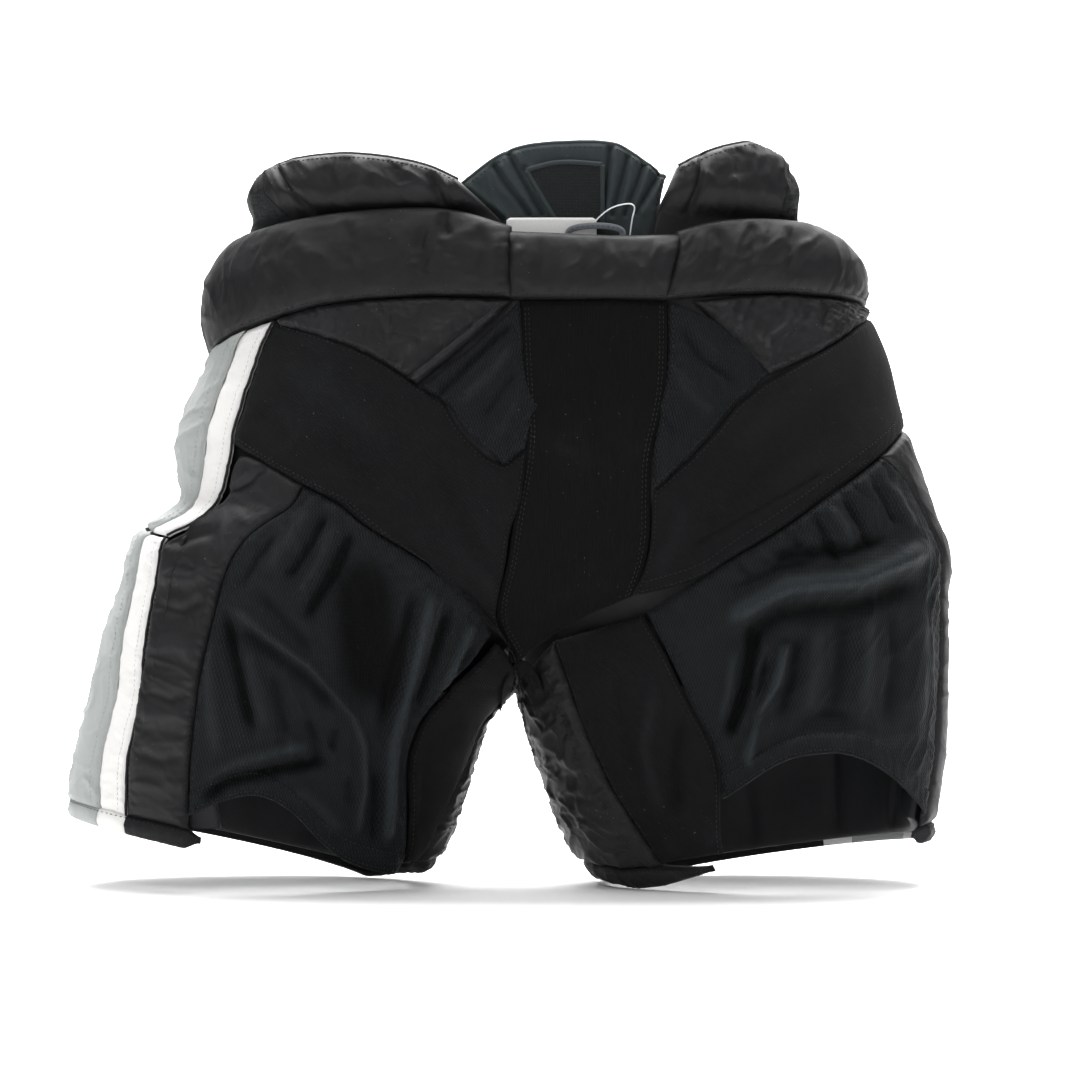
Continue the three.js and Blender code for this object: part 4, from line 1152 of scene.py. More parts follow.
@dataclass
class Assembly:
    """A group of pieces that are made and dressed together."""

    title: str
    rows: dict[tuple[str, Finish], list[Track]] = field(default_factory=dict)

    def move(self, piece: bpy.types.Object, with_body: str | Side) -> None:
        """Makes a piece ride on a body; a piece that crosses from the waist to one leg is only baked in
        place.
        """
        if isinstance(with_body, Side):
            crossing = CROSSINGS[with_body]
            with_body.body
            row(crossing.start[0], 0, crossing.start[1])
            row(crossing.end[0], 0, crossing.end[1])
            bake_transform(piece)
        else:
            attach(piece, with_body)

    def put(self, piece: bpy.types.Object, with_body: str | Side, slot: str, *nodes: str,
            fill: float | None = None) -> bpy.types.Object:
        """Attaches a finished piece to its body, or bakes it in place if it crosses the hip, hides the CAD
        nodes that it stands for, and logs it.

        Args:
            piece: The piece.
            with_body: Its body, or the side on which it crosses the hip.
            slot: A material slot name; not used.
            nodes: CAD nodes that it stands for.
            fill: How tight its padding is, for a pad; not used.

        Returns:
            The piece.
        """
        self.move(piece, with_body)
        if nodes:
            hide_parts(*nodes)
        LOG.info("%s: %s, %d faces", self.title, piece.name, len(piece.data.polygons))
        return piece

    def sew(self, with_body: str | Side, *tracks: Track, thread: Finish = Finish.BLACK_THREAD) -> None:
        """Keeps rows of stitches to be made at the end."""
        key = with_body.word if isinstance(with_body, Side) else with_body
        self.rows.setdefault((key, thread), []).extend(tracks)

    def sew_edges(self, with_body: str | Side, panel: Panel, *rows: tuple[Edge, float],
                  ends: tuple[float, float] = (0.0, 1.0), lift: float = THREAD_LIFT,
                  thread: Finish = Finish.BLACK_THREAD) -> None:
        """Keeps rows of stitches that run beside a panel's edges.

        Args:
            with_body: The rows' body, or the side on which they cross the hip.
            panel: The panel.
            rows: Edges, and each row's distance from its edge.
            ends: Shares of the edge where the rows start and stop.
            lift: Distance above the cloth.
            thread: The thread.
        """
        self.sew(with_body, *(panel.track(edge, inset, *ends, lift) for edge, inset in rows), thread=thread)

    def finish_rows(self) -> None:
        """Makes the kept rows of stitches, one piece for each body and thread."""
        sides = {side.word: side for side in Side}
        for (key, thread), tracks in self.rows.items():
            piece = stitches(f"{self.title}_{thread.name.lower()}_{key}", tracks)
            slot = THREAD_SLOTS.get(thread, "webbing")
            self.put(coated(piece, thread), sides.get(key, key), slot)

    def piping(self, name: str, track: Track, with_body: str | Side, finish: Finish = Finish.TAPE,
               radius: float = 1.3, slot: str = "webbing", flat: float = 0.8) -> None:
        """A thin covered cord sewn along a seam."""
        piece = tube(name, track.even(2.5), radius, flat, 8)
        self.put(coated(piece, finish), with_body, slot)


WAIST = "waist"
BAND_LOW = {
    Side.LEFT: [(-0.93, 432), (-0.6, 425), (-0.3, 425), (0, 444)]
    + ring_line(Side.LEFT, [(-189, 474), (-147, 485), (-62, 491), (9, 488)]),
    Side.RIGHT: ring_line(Side.RIGHT, [(131, 486), (157, 489), (216, 494), (255, 493)])
    + [(0, 488), (-0.3, 470), (-0.6, 450), (-0.93, 432)],
}
BAND_HIGH = {
    Side.LEFT: [(-0.93, 497), (-0.6, 492), (-0.3, 504), (0, 534)]
    + ring_line(Side.LEFT, [(-191, 553), (-120, 563), (-43, 564), (7, 547)]),
    Side.RIGHT: ring_line(Side.RIGHT, [(143, 543), (168, 553), (226, 558), (262, 553)])
    + [(0, 540), (-0.3, 520), (-0.6, 505), (-0.93, 497)],
}


@dataclass
class Waistband(Assembly):
    """The padded band round the waist, in three pieces, with the lining behind it."""

    title: str = "waistband"
    roll: float = 11.0
    sunk: float = 3.0
    inner: float = 13.0
    creases: tuple[Fold, ...] = (
        Fold(((-46, 562), (-48, 548), (-42, 535)), 3.5, -5.0),
        Fold(((-62, 548), (-66, 530), (-62, 510)), 3.5, -3.5),
        Fold(((-50, 535), (-40, 520)), 3.0, -2.5),
        Fold(((-75, 520), (-60, 505)), 3.0, -2.2),
        Fold(((-20, 552), (-14, 528), (-18, 502)), 3.5, -2.2),
        Fold(((-130, 556), (-122, 534), (-126, 508)), 4.5, -1.8),
        Fold(((172, 548), (178, 530), (172, 508)), 4.0, -2.4),
        Fold(((200, 552), (206, 532), (200, 512)), 4.5, -2.0),
        Fold(((232, 550), (236, 530), (230, 508)), 4.0, -2.2),
        Fold(((30, 540), (34, 520), (28, 500)), 5.0, -1.6),
        Fold(((86, 540), (82, 520), (88, 500)), 5.0, -1.6),
    )

    def band(self, name: str, place: Place, seed: int) -> bpy.types.Object:
        """One padded piece: a quarter circle over its height, gathered at every seam."""
        panel = Panel(name, place, 2.1)
        t = panel.t
        panel.height = -self.sunk + self.roll * np.sqrt(np.clip(4 * t * (1 - t), 0, 1)) ** 0.9
        ends = 1 - rounded(panel.near((Edge.LEFT, Edge.RIGHT)) / 14)
        panel.height = panel.height - (self.roll - 3) * ends * (4 * t * (1 - t)) ** 0.5
        panel.fold(*self.creases)
        panel.rumple(26, 1.5, seed, 12, 1.8, smooth(4 * t * (1 - t)))
        panel.pucker(Edge.LOW, 13, 2.4, 12, seed + 5).pucker(Edge.HIGH, 17, 1.8, 9, seed + 6)
        panel.pucker(Edge.LEFT, 11, 2.2, 10, seed + 7).pucker(Edge.RIGHT, 11, 2.2, 10, seed + 8)
        panel.sway(60, 1.2, seed + 9)
        piece = panel.build(Finish.NYLON, np.maximum(panel.height + self.inner, 3.0))
        self.sew_edges(WAIST, panel, (Edge.LOW, 3.2))
        return self.put(piece, WAIST, "nylon", name, fill=0.7)

    def make(self) -> None:
        """Makes the three pieces and the lining."""
        for side in Side:
            low, high = BAND_LOW[side], BAND_HIGH[side]
            place = on_side(side, Pattern([low[0], high[0]], [low[-1], high[-1]], low, high))
            self.band(f"waistband_{side.word}", place, 11 + side.value)
        self.band("waistband_centre", flat_back(
            [(5, 487), (3, 543)], [(135, 486), (147, 541)],
            high=[(3, 543), (52, 541), (103, 539), (147, 541)]), 31)
        ring = Pattern([(-1.92, 385), (-1.92, 486)], [(1.92, 385), (1.92, 486)])

        def lining(u: Array, t: Array) -> Array:
            spot = ring.at(u, t)
            around, z = 1 - np.abs(spot[..., 0]), spot[..., 1]
            left, right = (TRUNK.surface(side, around, z) for side in Side)
            return np.where((spot[..., 0] < 0)[..., None], left, right)

        panel = Panel("waist_liner", lining, 5.0, -27)
        panel.rumple(40, 1.0, 71).pucker(Edge.HIGH, 16, 1.2, 12, 72)
        self.put(panel.build(Finish.LINING, 1.5), WAIST, "foam", "waist_liner")
        self.finish_rows()


@dataclass
class Seat(Assembly):
    """The matte middle of the seat, the knitted triangles beside it, the yokes and the flex bands."""

    title: str = "seat"

    def cloth(self, name: str, place: Place, finish: Finish, slot: str, with_body: str | Side,
              shape: Callable[[Panel], Any], step: float = 2.0,
              rows: Sequence[tuple[Edge, float]] = ()) -> Panel:
        """One sewn piece: shaped, sunk at its edges, then stitched along some of them."""
        panel = Panel(name, place, step)
        shape(panel)
        panel.sew(2.6, 3.2)
        self.put(panel.build(finish, 1.5), with_body, slot, name)
        self.sew_edges(with_body, panel, *rows, ends=(0.02, 0.98))
        return panel

    def middle(self) -> None:
        """The seat panel."""
        def shape(p: Panel) -> None:
            p.stuff(1.2, 20).sway(55, 1.6, 3).rumple(34, 0.5, 5, 5, 3)
            p.pucker(Edge.LEFT, 9, 1.3, 7, 6).pucker(Edge.RIGHT, 9, 1.3, 7, 7)
            p.fold(Fold(((30, 262), (70, 282), (104, 286)), 9, -1.6),
                   Fold(((24, 236), (60, 252), (98, 262)), 8, 1.4),
                   Fold(((40, 420), (46, 350), (38, 300)), 12, -1.2),
                   Fold(((100, 430), (96, 380), (104, 330)), 12, 1.0))

        self.cloth("seat_panel", flat_back(
            [(14, 190), (-5, 219), (-3, 242), (5, 270), (9, 303), (21, 366), (17, 415), (14, 486)],
            [(105, 244), (114, 264), (120, 292), (120, 329), (121, 362), (130, 395), (134, 423), (135, 486)],
            [(14, 190), (40, 211), (69, 228), (105, 244)]), Finish.STRETCH, "stretch", WAIST, shape,
            rows=((Edge.LEFT, 4.0), (Edge.RIGHT, 4.0), (Edge.LEFT, 7.0), (Edge.RIGHT, 7.0)))
        pad = Panel("tailbone_pad", flat_back(
            [(50, 300), (24, 400), (24, 478)], [(92, 300), (122, 400), (122, 478)]), 4.0, -9.0)
        pad.stuff(3.5, 16)
        self.put(pad.build(Finish.LINING, np.maximum(pad.height + 15, 3)), WAIST, "foam",
                 "tailbone_pad", fill=0.8)

    def left_side(self) -> None:
        """The seat mesh, yoke and flex band of the left half."""
        side = Side.LEFT

        def mesh_shape(p: Panel) -> None:
            p.stuff(2.0, 14)
            p.fold(Fold(((12, 470), (-20, 440), (-58, 402)), 4.0, -4.5, 0.15),
                   Fold(((15, 430), (-20, 385)), 4.0, -3.2),
                   Fold(((14, 455), (-8, 425), (-40, 395)), 4.5, 3.4),
                   Fold(((16, 410), (2, 385), (-10, 372)), 4.0, 2.0))
            p.rumple(16, 1.6, 41, -42, 4).pucker(Edge.RIGHT, 10, 2.2, 12, 42).pucker(Edge.LOW, 9, 1.2, 7, 43)

        self.cloth("seat_mesh_left", side_back(
            side, [(3, 350), (-31, 377), (-67, 416)], [(19, 366), (16, 415), (14, 485)],
            high=[(-67, 416), (14, 485)]), Finish.TRICOT, "mesh", WAIST, mesh_shape, 1.7,
            ((Edge.RIGHT, 3.5), (Edge.LEFT, 3.5)))

        def yoke_shape(p: Panel) -> None:
            p.stuff(2.6, 18).fold(
                Fold(((10, 480), (-30, 447), (-72, 413)), 2.2, -3.2, 0.1),
                Fold(((-6, 482), (-46, 450), (-84, 420)), 2.4, -2.4, 0.1),
                Fold(((0, 482), (-40, 448), (-78, 416)), 4.2, 2.6, 0.1),
                Fold(((-20, 484), (-60, 452), (-96, 428)), 4.5, 1.8, 0.2))
            p.rumple(24, 1.7, 44, 18, 2.2).rumple(11, 0.5, 45, 40, 1.6)
            p.pucker(Edge.HIGH, 12, 2.4, 12, 46).pucker(Edge.LOW, 9, 1.8, 9, 47)

        self.cloth("yoke_left", side_back(
            side, [(-187, 469), (-187, 473)], [(-70, 418), (8, 486)],
            [(-187, 469), (-136, 454), (-101, 438), (-70, 418)],
            [(-187, 473), (-147, 485), (-62, 490), (8, 486)]), Finish.NYLON, "nylon", WAIST, yoke_shape, 1.7,
            ((Edge.RIGHT, 2.6), (Edge.RIGHT, 9.0), (Edge.LOW, 3.0)))

        def band_shape(p: Panel) -> None:
            p.stuff(1.6, 18).sway(70, 2.4, 48, 35, 2.5).fold(
                Fold(((-200, 452), (-140, 410), (-80, 352)), 16, 2.0),
                Fold(((-150, 380), (-90, 330)), 14, -2.4),
                Fold(((-60, 360), (-30, 310), (-8, 262)), 10, -2.6),
                Fold(((-40, 300), (-14, 262), (4, 226)), 8, 2.0),
                Fold(((-205, 398), (-170, 366)), 10, -2.0))
            p.pucker(Edge.LOW, 10, 1.5, 8, 49).pucker(Edge.HIGH, 10, 1.2, 8, 50)
            p.pucker(Edge.RIGHT, 9, 1.2, 8, 51)

        self.cloth("flex_band_left", side_back(
            side, [(-222, 370), (-206, 444), (-190, 473)],
            [(10, 184), (-7, 219), (-5, 242), (3, 270), (7, 303), (20, 365)],
            [(-222, 370), (-164, 336), (-128, 317), (-92, 291), (-40, 257), (-8, 217), (10, 184)],
            [(-190, 473), (-136, 455), (-101, 439), (-69, 417), (-33, 375), (0, 347), (20, 365)]),
            Finish.BAND, "stretch", side, band_shape, 2.2,
            ((Edge.LOW, 3.5), (Edge.LOW, 7.0), (Edge.HIGH, 3.5), (Edge.RIGHT, 3.5)))

    def right_side(self) -> None:
        """The seat mesh, yoke and flex band of the right half."""
        side = Side.RIGHT

        def mesh_shape(p: Panel) -> None:
            p.stuff(2.0, 14)
            p.fold(Fold(((140, 470), (160, 440), (196, 414)), 4.5, -3.4),
                   Fold(((134, 430), (156, 404), (176, 388)), 4.5, 2.8),
                   Fold(((128, 395), (142, 372)), 4.0, -2.4), Fold(((150, 462), (176, 436)), 4.0, 2.2))
            p.rumple(16, 1.5, 54, 42, 4).pucker(Edge.LEFT, 10, 2.0, 12, 55).pucker(Edge.HIGH, 9, 1.4, 8, 56)

        self.cloth("seat_mesh_right", side_back(
            side, [(122, 334), (122, 364), (130, 395), (134, 423), (135, 485)],
            [(127, 334), (157, 362), (190, 400), (219, 427)],
            [(122, 334), (127, 334)], [(135, 485), (166, 476), (195, 455), (219, 427)]),
            Finish.TRICOT, "mesh", WAIST, mesh_shape, 1.7, ((Edge.LEFT, 3.5), (Edge.RIGHT, 3.5)))

        def yoke_shape(p: Panel) -> None:
            p.stuff(2.6, 16).fold(
                Fold(((215, 436), (190, 460), (160, 482)), 2.4, -2.6, 0.1),
                Fold(((222, 438), (200, 462), (174, 486)), 4.5, 2.4, 0.1),
                Fold(((270, 488), (262, 462)), 5, -2.2),
                Fold(((300, 486), (292, 476)), 4, -2.0))
            p.rumple(24, 1.6, 57, -14, 2.2).rumple(11, 0.5, 58, -35, 1.6)
            p.pucker(Edge.HIGH, 12, 2.4, 12, 59).pucker(Edge.LOW, 9, 1.8, 9, 60)

        low = ring_line(side, [(218, 426), (286, 464), (304, 474)]) + [(-0.062, 480)]
        high = ring_line(side, [(156, 486), (216, 493), (255, 492)]) + [(0, 488), (-0.062, 487)]
        self.cloth("yoke_right", on_side(side, Pattern([low[0], high[0]], [low[-1], high[-1]], low, high)),
                   Finish.NYLON, "nylon", WAIST, yoke_shape, 1.7,
                   ((Edge.LEFT, 2.6), (Edge.LEFT, 9.0), (Edge.LOW, 3.0)))

        def band_shape(p: Panel) -> None:
            p.stuff(1.6, 18).sway(70, 2.4, 61, -35, 2.5).fold(
                Fold(((300, 452), (230, 400), (170, 345)), 16, 1.8),
                Fold(((290, 400), (220, 350), (160, 300)), 14, -2.2),
                Fold(((150, 330), (140, 290), (122, 262)), 9, 2.0), Fold(((180, 320), (150, 270)), 9, -1.8),
                Fold(((270, 350), (200, 312), (150, 284)), 1.8, -1.8, 0.1))
            p.pucker(Edge.LOW, 10, 1.6, 8, 62).pucker(Edge.HIGH, 10, 1.2, 8, 63)
            p.pucker(Edge.LEFT, 9, 1.2, 8, 64)

        outer = [(-0.062, 387), (-0.062, 479)]
        low = ring_line(side, [(106, 244), (157, 256), (185, 276), (232, 303), (268, 329), (304, 355),
                               (330, 379)]) + outer[:1]
        high = ring_line(side, [(122, 330), (158, 361), (191, 399), (220, 425), (286, 465),
                                (304, 475)]) + outer[1:]
        left = ring_line(side, [(106, 244), (115, 264), (121, 292), (122, 330)])
        self.cloth("flex_band_right", on_side(side, Pattern(left, outer, low, high)), Finish.BAND, "stretch",
                   side, band_shape, 2.2,
                   ((Edge.LOW, 3.5), (Edge.LOW, 13.0), (Edge.HIGH, 3.5), (Edge.LEFT, 3.5)))

    def make(self) -> None:
        """Makes the seat's pieces."""
        self.middle()
        self.left_side()
        self.right_side()
        self.finish_rows()


STRIPES_WIDTH = 114.0
WHITE_WIDTH = 28.0
GREY_WIDTH = 58.0
HIP_FOLD_FRONT = 303.0
HIP_FOLD_REAR = 291.0
HIP_FOLD_REACH = 0.3
HEM_HEIGHT = 17.0
HEM_RISE = 1.0
HEM_WIDTH_Z = 40.0
HEM_SLOPE = {Side.LEFT: 0.205, Side.RIGHT: 0.135}
HEM_INNER_X = {Side.LEFT: -84.0, Side.RIGHT: 86.0}
STRIPE_REAR: dict[Side, dict[str, Line]] = {
    Side.LEFT: {
        "thigh": ring_line(Side.LEFT, [
            (-310, 64), (-304, 136), (-296, 188), (-291, 234), (-285, 270), (-282, 288)]),
        "hip": ring_line(Side.LEFT, [
            (-281, 291), (-252, 306), (-241, 319), (-230, 338), (-221, 371), (-205, 444), (-190, 471)]),
    },
    Side.RIGHT: {"thigh": [(-0.05, 54), (-0.05, 298)], "hip": [(-0.06, 302), (-0.06, 380), (-0.07, 484)]},
}


def hem_z(side: Side, s: Array | float) -> Array:
    """Height of the bottom of a leg, which climbs from the inside of the leg to the outside."""
    x = TRUNK.surface(side, np.asarray(s, float), np.full(np.shape(s), HEM_WIDTH_Z))[..., 0]
    return HEM_RISE + HEM_SLOPE[side] * np.abs(x - HEM_INNER_X[side])


def hem_top(side: Side, s: float) -> float:
    """Height at which a panel ends, just under the upper edge of the hem's roll."""
    return float(hem_z(side, s)) + HEM_HEIGHT - 1


def hem_line(side: Side, start: float, stop: float, steps: int, lift: float) -> list[tuple[float, float]]:
    """A line at a height above the bottom of a leg."""
    s = np.linspace(start, stop, steps + 1)
    return list(zip(s.tolist(), (hem_z(side, s) + lift).tolist()))


def stripe_front(side: Side, z: float) -> float:
    """s of the front edge of the stripes at one height."""
    rear = STRIPE_REAR[side]["thigh" if z < 300 else "hip"]
    spot = along(rear, np.array([(z - rear[0][1]) / (rear[-1][1] - rear[0][1])]), 1.0)[0]
    return TRUNK.along_ring(side, float(spot[0]), z, STRIPES_WIDTH)


def hip_fold(s: float) -> float:
    """Height of the fold between the hip's stripe and the thigh's."""
    if s <= 0:
        return HIP_FOLD_FRONT
    return HIP_FOLD_REAR + (HIP_FOLD_FRONT - HIP_FOLD_REAR) * (1 - min(s / HIP_FOLD_REACH, 1))


def band_foot(side: Side, s: float) -> float:
    """Height of the waistband's lower edge."""
    line = sorted(BAND_LOW[side])
    return float(np.interp(s, [p[0] for p in line], [p[1] for p in line])) - 5


@dataclass
class Stripes(Assembly):
    """The side stripes of one half: a white panel with a grey stripe sewn on its middle."""

    side: Side = Side.LEFT
    title: str = "stripes"

    def strip(self, part: str, near: float, far: float) -> Place:
        """A strip between two distances from the rear edge, towards the front."""
        side = self.side
        line = np.array(STRIPE_REAR[side][part], float)
        share, knots = np.linspace(0, 1, 15), np.linspace(0, 1, len(line))
        dense = np.stack([np.interp(share, knots, line[:, k]) for k in (0, 1)], -1)
        hip = part == "hip"
        low = (lambda s: hip_fold(s) + 1.5) if hip else (lambda s: hem_top(side, s))
        high = (lambda s: band_foot(side, s) + 3) if hip else (lambda s: hip_fold(s) - 0.5)

        def edge(distance: float) -> list[tuple[float, float]]:
            spots = [(TRUNK.along_ring(side, s, z, distance) if distance else s, z) for s, z in dense]
            foot, head = low(spots[0][0]), high(spots[-1][0])
            between = [spot for spot in spots if foot + 4 < spot[1] < head - 4]
            return [(spots[0][0], foot), *between, (spots[-1][0], head)]

        def cross(start: float, stop: float, height: Callable[[float], float]) -> list[tuple[float, float]]:
            return [(s, height(s)) for s in np.linspace(start, stop, 9).tolist()]

        left, right = edge(far), edge(near)
        return on_side(side, Pattern(left, right, cross(left[0][0], right[0][0], low),
                                     cross(left[-1][0], right[-1][0], high)))

    def make(self) -> None:
        """Makes both stripes above and below the fold at the hip."""
        for number, part in enumerate(("hip", "thigh")):
            with_body: str | Side = self.side if part == "hip" else self.side.body
            seed = 80 + 10 * number + self.side.value
            white = Panel(f"{part}_stripe_white_{self.side.word}",
                          self.strip(part, 0, STRIPES_WIDTH), 2.0, -0.4)
            inside = smooth((white.near((Edge.LEFT, Edge.RIGHT)) - WHITE_WIDTH + 2) / 6)
            white.height = white.height - 2.8 * inside
            white.pucker(Edge.RIGHT, 8.5, 2.0, 9, seed).pucker(Edge.LEFT, 8.5, 2.0, 9, seed + 1)
            white.rumple(22, 1.1, seed + 2, 80, 2.0).sew(2.4, 2.6)
            white.pucker(Edge.LOW if part == "hip" else Edge.HIGH, 12, 1.6, 12, seed + 3)
            self.put(white.build(Finish.WHITE, 1.2), with_body, "white", white.name)
            grey = Panel(f"{part}_stripe_grey_{self.side.word}",
                         self.strip(part, WHITE_WIDTH, WHITE_WIDTH + GREY_WIDTH), 2.0, 0.4)
            grey.stuff(1.4, 12, (Edge.LEFT, Edge.RIGHT)).rumple(24, 1.8, seed + 4, 80, 1.8)
            grey.pucker(Edge.RIGHT, 9, 1.4, 8, seed + 5).pucker(Edge.LEFT, 9, 1.4, 8, seed + 6)
            grey.pucker(Edge.LOW if part == "hip" else Edge.HIGH, 12, 1.8, 12, seed + 7).sew(1.6, 2.2)
            self.put(grey.build(Finish.GREY, 1.3), with_body, "grey", grey.name)
            self.sew_edges(with_body, white, (Edge.RIGHT, 8.5), (Edge.LEFT, 8.5), ends=(0.02, 0.98),
                           thread=Finish.WHITE_THREAD)
            self.sew_edges(with_body, grey, (Edge.RIGHT, 2.0), (Edge.RIGHT, 9.5), (Edge.LEFT, 9.5),
                           ends=(0.02, 0.98), thread=Finish.GREY)
            for word, edge in (("piping", Edge.RIGHT), ("front_piping", Edge.LEFT)):
                self.piping(f"{part}_{word}_{self.side.word}", white.track(edge, 0.0, lift=2.2), with_body)
        self.finish_rows()


@dataclass
class HipGuard(Assembly):
    """The pads over the hips and their hard plates."""

    side: Side = Side.LEFT
    title: str = "hip_guard"

    def make(self) -> None:
        """Makes the pad and dresses the plate."""
        rear = 0.5 if self.side is Side.LEFT else 0.45
        left, right = [(-0.5, 352), (-0.5, 476)], [(rear, 352), (rear, 490)]
        pad = Panel(f"hip_pad_{self.side.word}", on_side(
            self.side, Pattern(left, right, high=[(-0.5, 476), (0, 490), (rear, 490)])), 5.0, -16)
        pad.stuff(2.8, 20).rumple(30, 0.6, 90)
        self.put(pad.build(Finish.LINING, np.maximum(pad.height + 22, 3)), WAIST, "foam", pad.name, fill=0.8)
        dress(f"hip_plate_{self.side.word}", Finish.PLATE)


def dress(node: str, finish: Finish) -> None:
    """Gives a CAD node its finish."""
    coated(bpy.data.objects[node], finish)


@dataclass
class Lining(Assembly):
    """The dark cloth behind the outer panels of one half, which shows only through gaps and openings."""

    side: Side = Side.LEFT
    title: str = "lining"
    depth: float = 4.9
    slack: float = 21.0

    def make(self) -> None:
        """Makes the half tube of lining, slack behind the knitted thigh panel."""
        foot = 132.0 if self.side is Side.LEFT else 140.0
        heights = (150, 169, 171, 175, 182, 192, 210, 235, 270, 320, 400, 500)
        body = Pattern(
            [(-0.985, z) for z in (165, 171, 182, 200, 230, 270, 320, 380, 440)],
            [(0.985, z) for z in heights],
            [(-0.985, 165), (-0.84, 132), (-0.6, 150), (-0.3, 200), (0, 200), (0.3, foot), (0.8, foot),
             (0.985, 150)],
            [(-0.985, 440), (-0.5, 440), (0, 470), (0.4, 492), (0.985, 500)])
        panel = Panel(f"lining_{self.side.word}", on_side(self.side, body), 5.0)
        s = body.at(panel.u, panel.t)[..., 0]  # close enough to where each point lies round the half
        start = 0.42 if self.side is Side.LEFT else 0.10
        loose = smooth((s - start) / 0.14) * smooth((330 - panel.z) / 60)
        panel.height = -self.depth - self.slack * loose - 5 * smooth((0.5 - np.abs(s)) / 0.12)
        self.put(panel.build(Finish.LINING, 1.0), self.side, "foam")
        first, last = (0.64, 0.93) if self.side is Side.LEFT else (0.56, 0.93)
        low = hem_line(self.side, first, last, 6, 24.0)
        strip = Panel(f"lining_seam_{self.side.word}", on_side(self.side, Pattern(
            [low[0], (first, foot + 30)], [low[-1], (last, foot + 30)], low)), 4.0, -7.0)
        self.put(strip.build(Finish.LINING, 1.0), self.side.body, "foam")


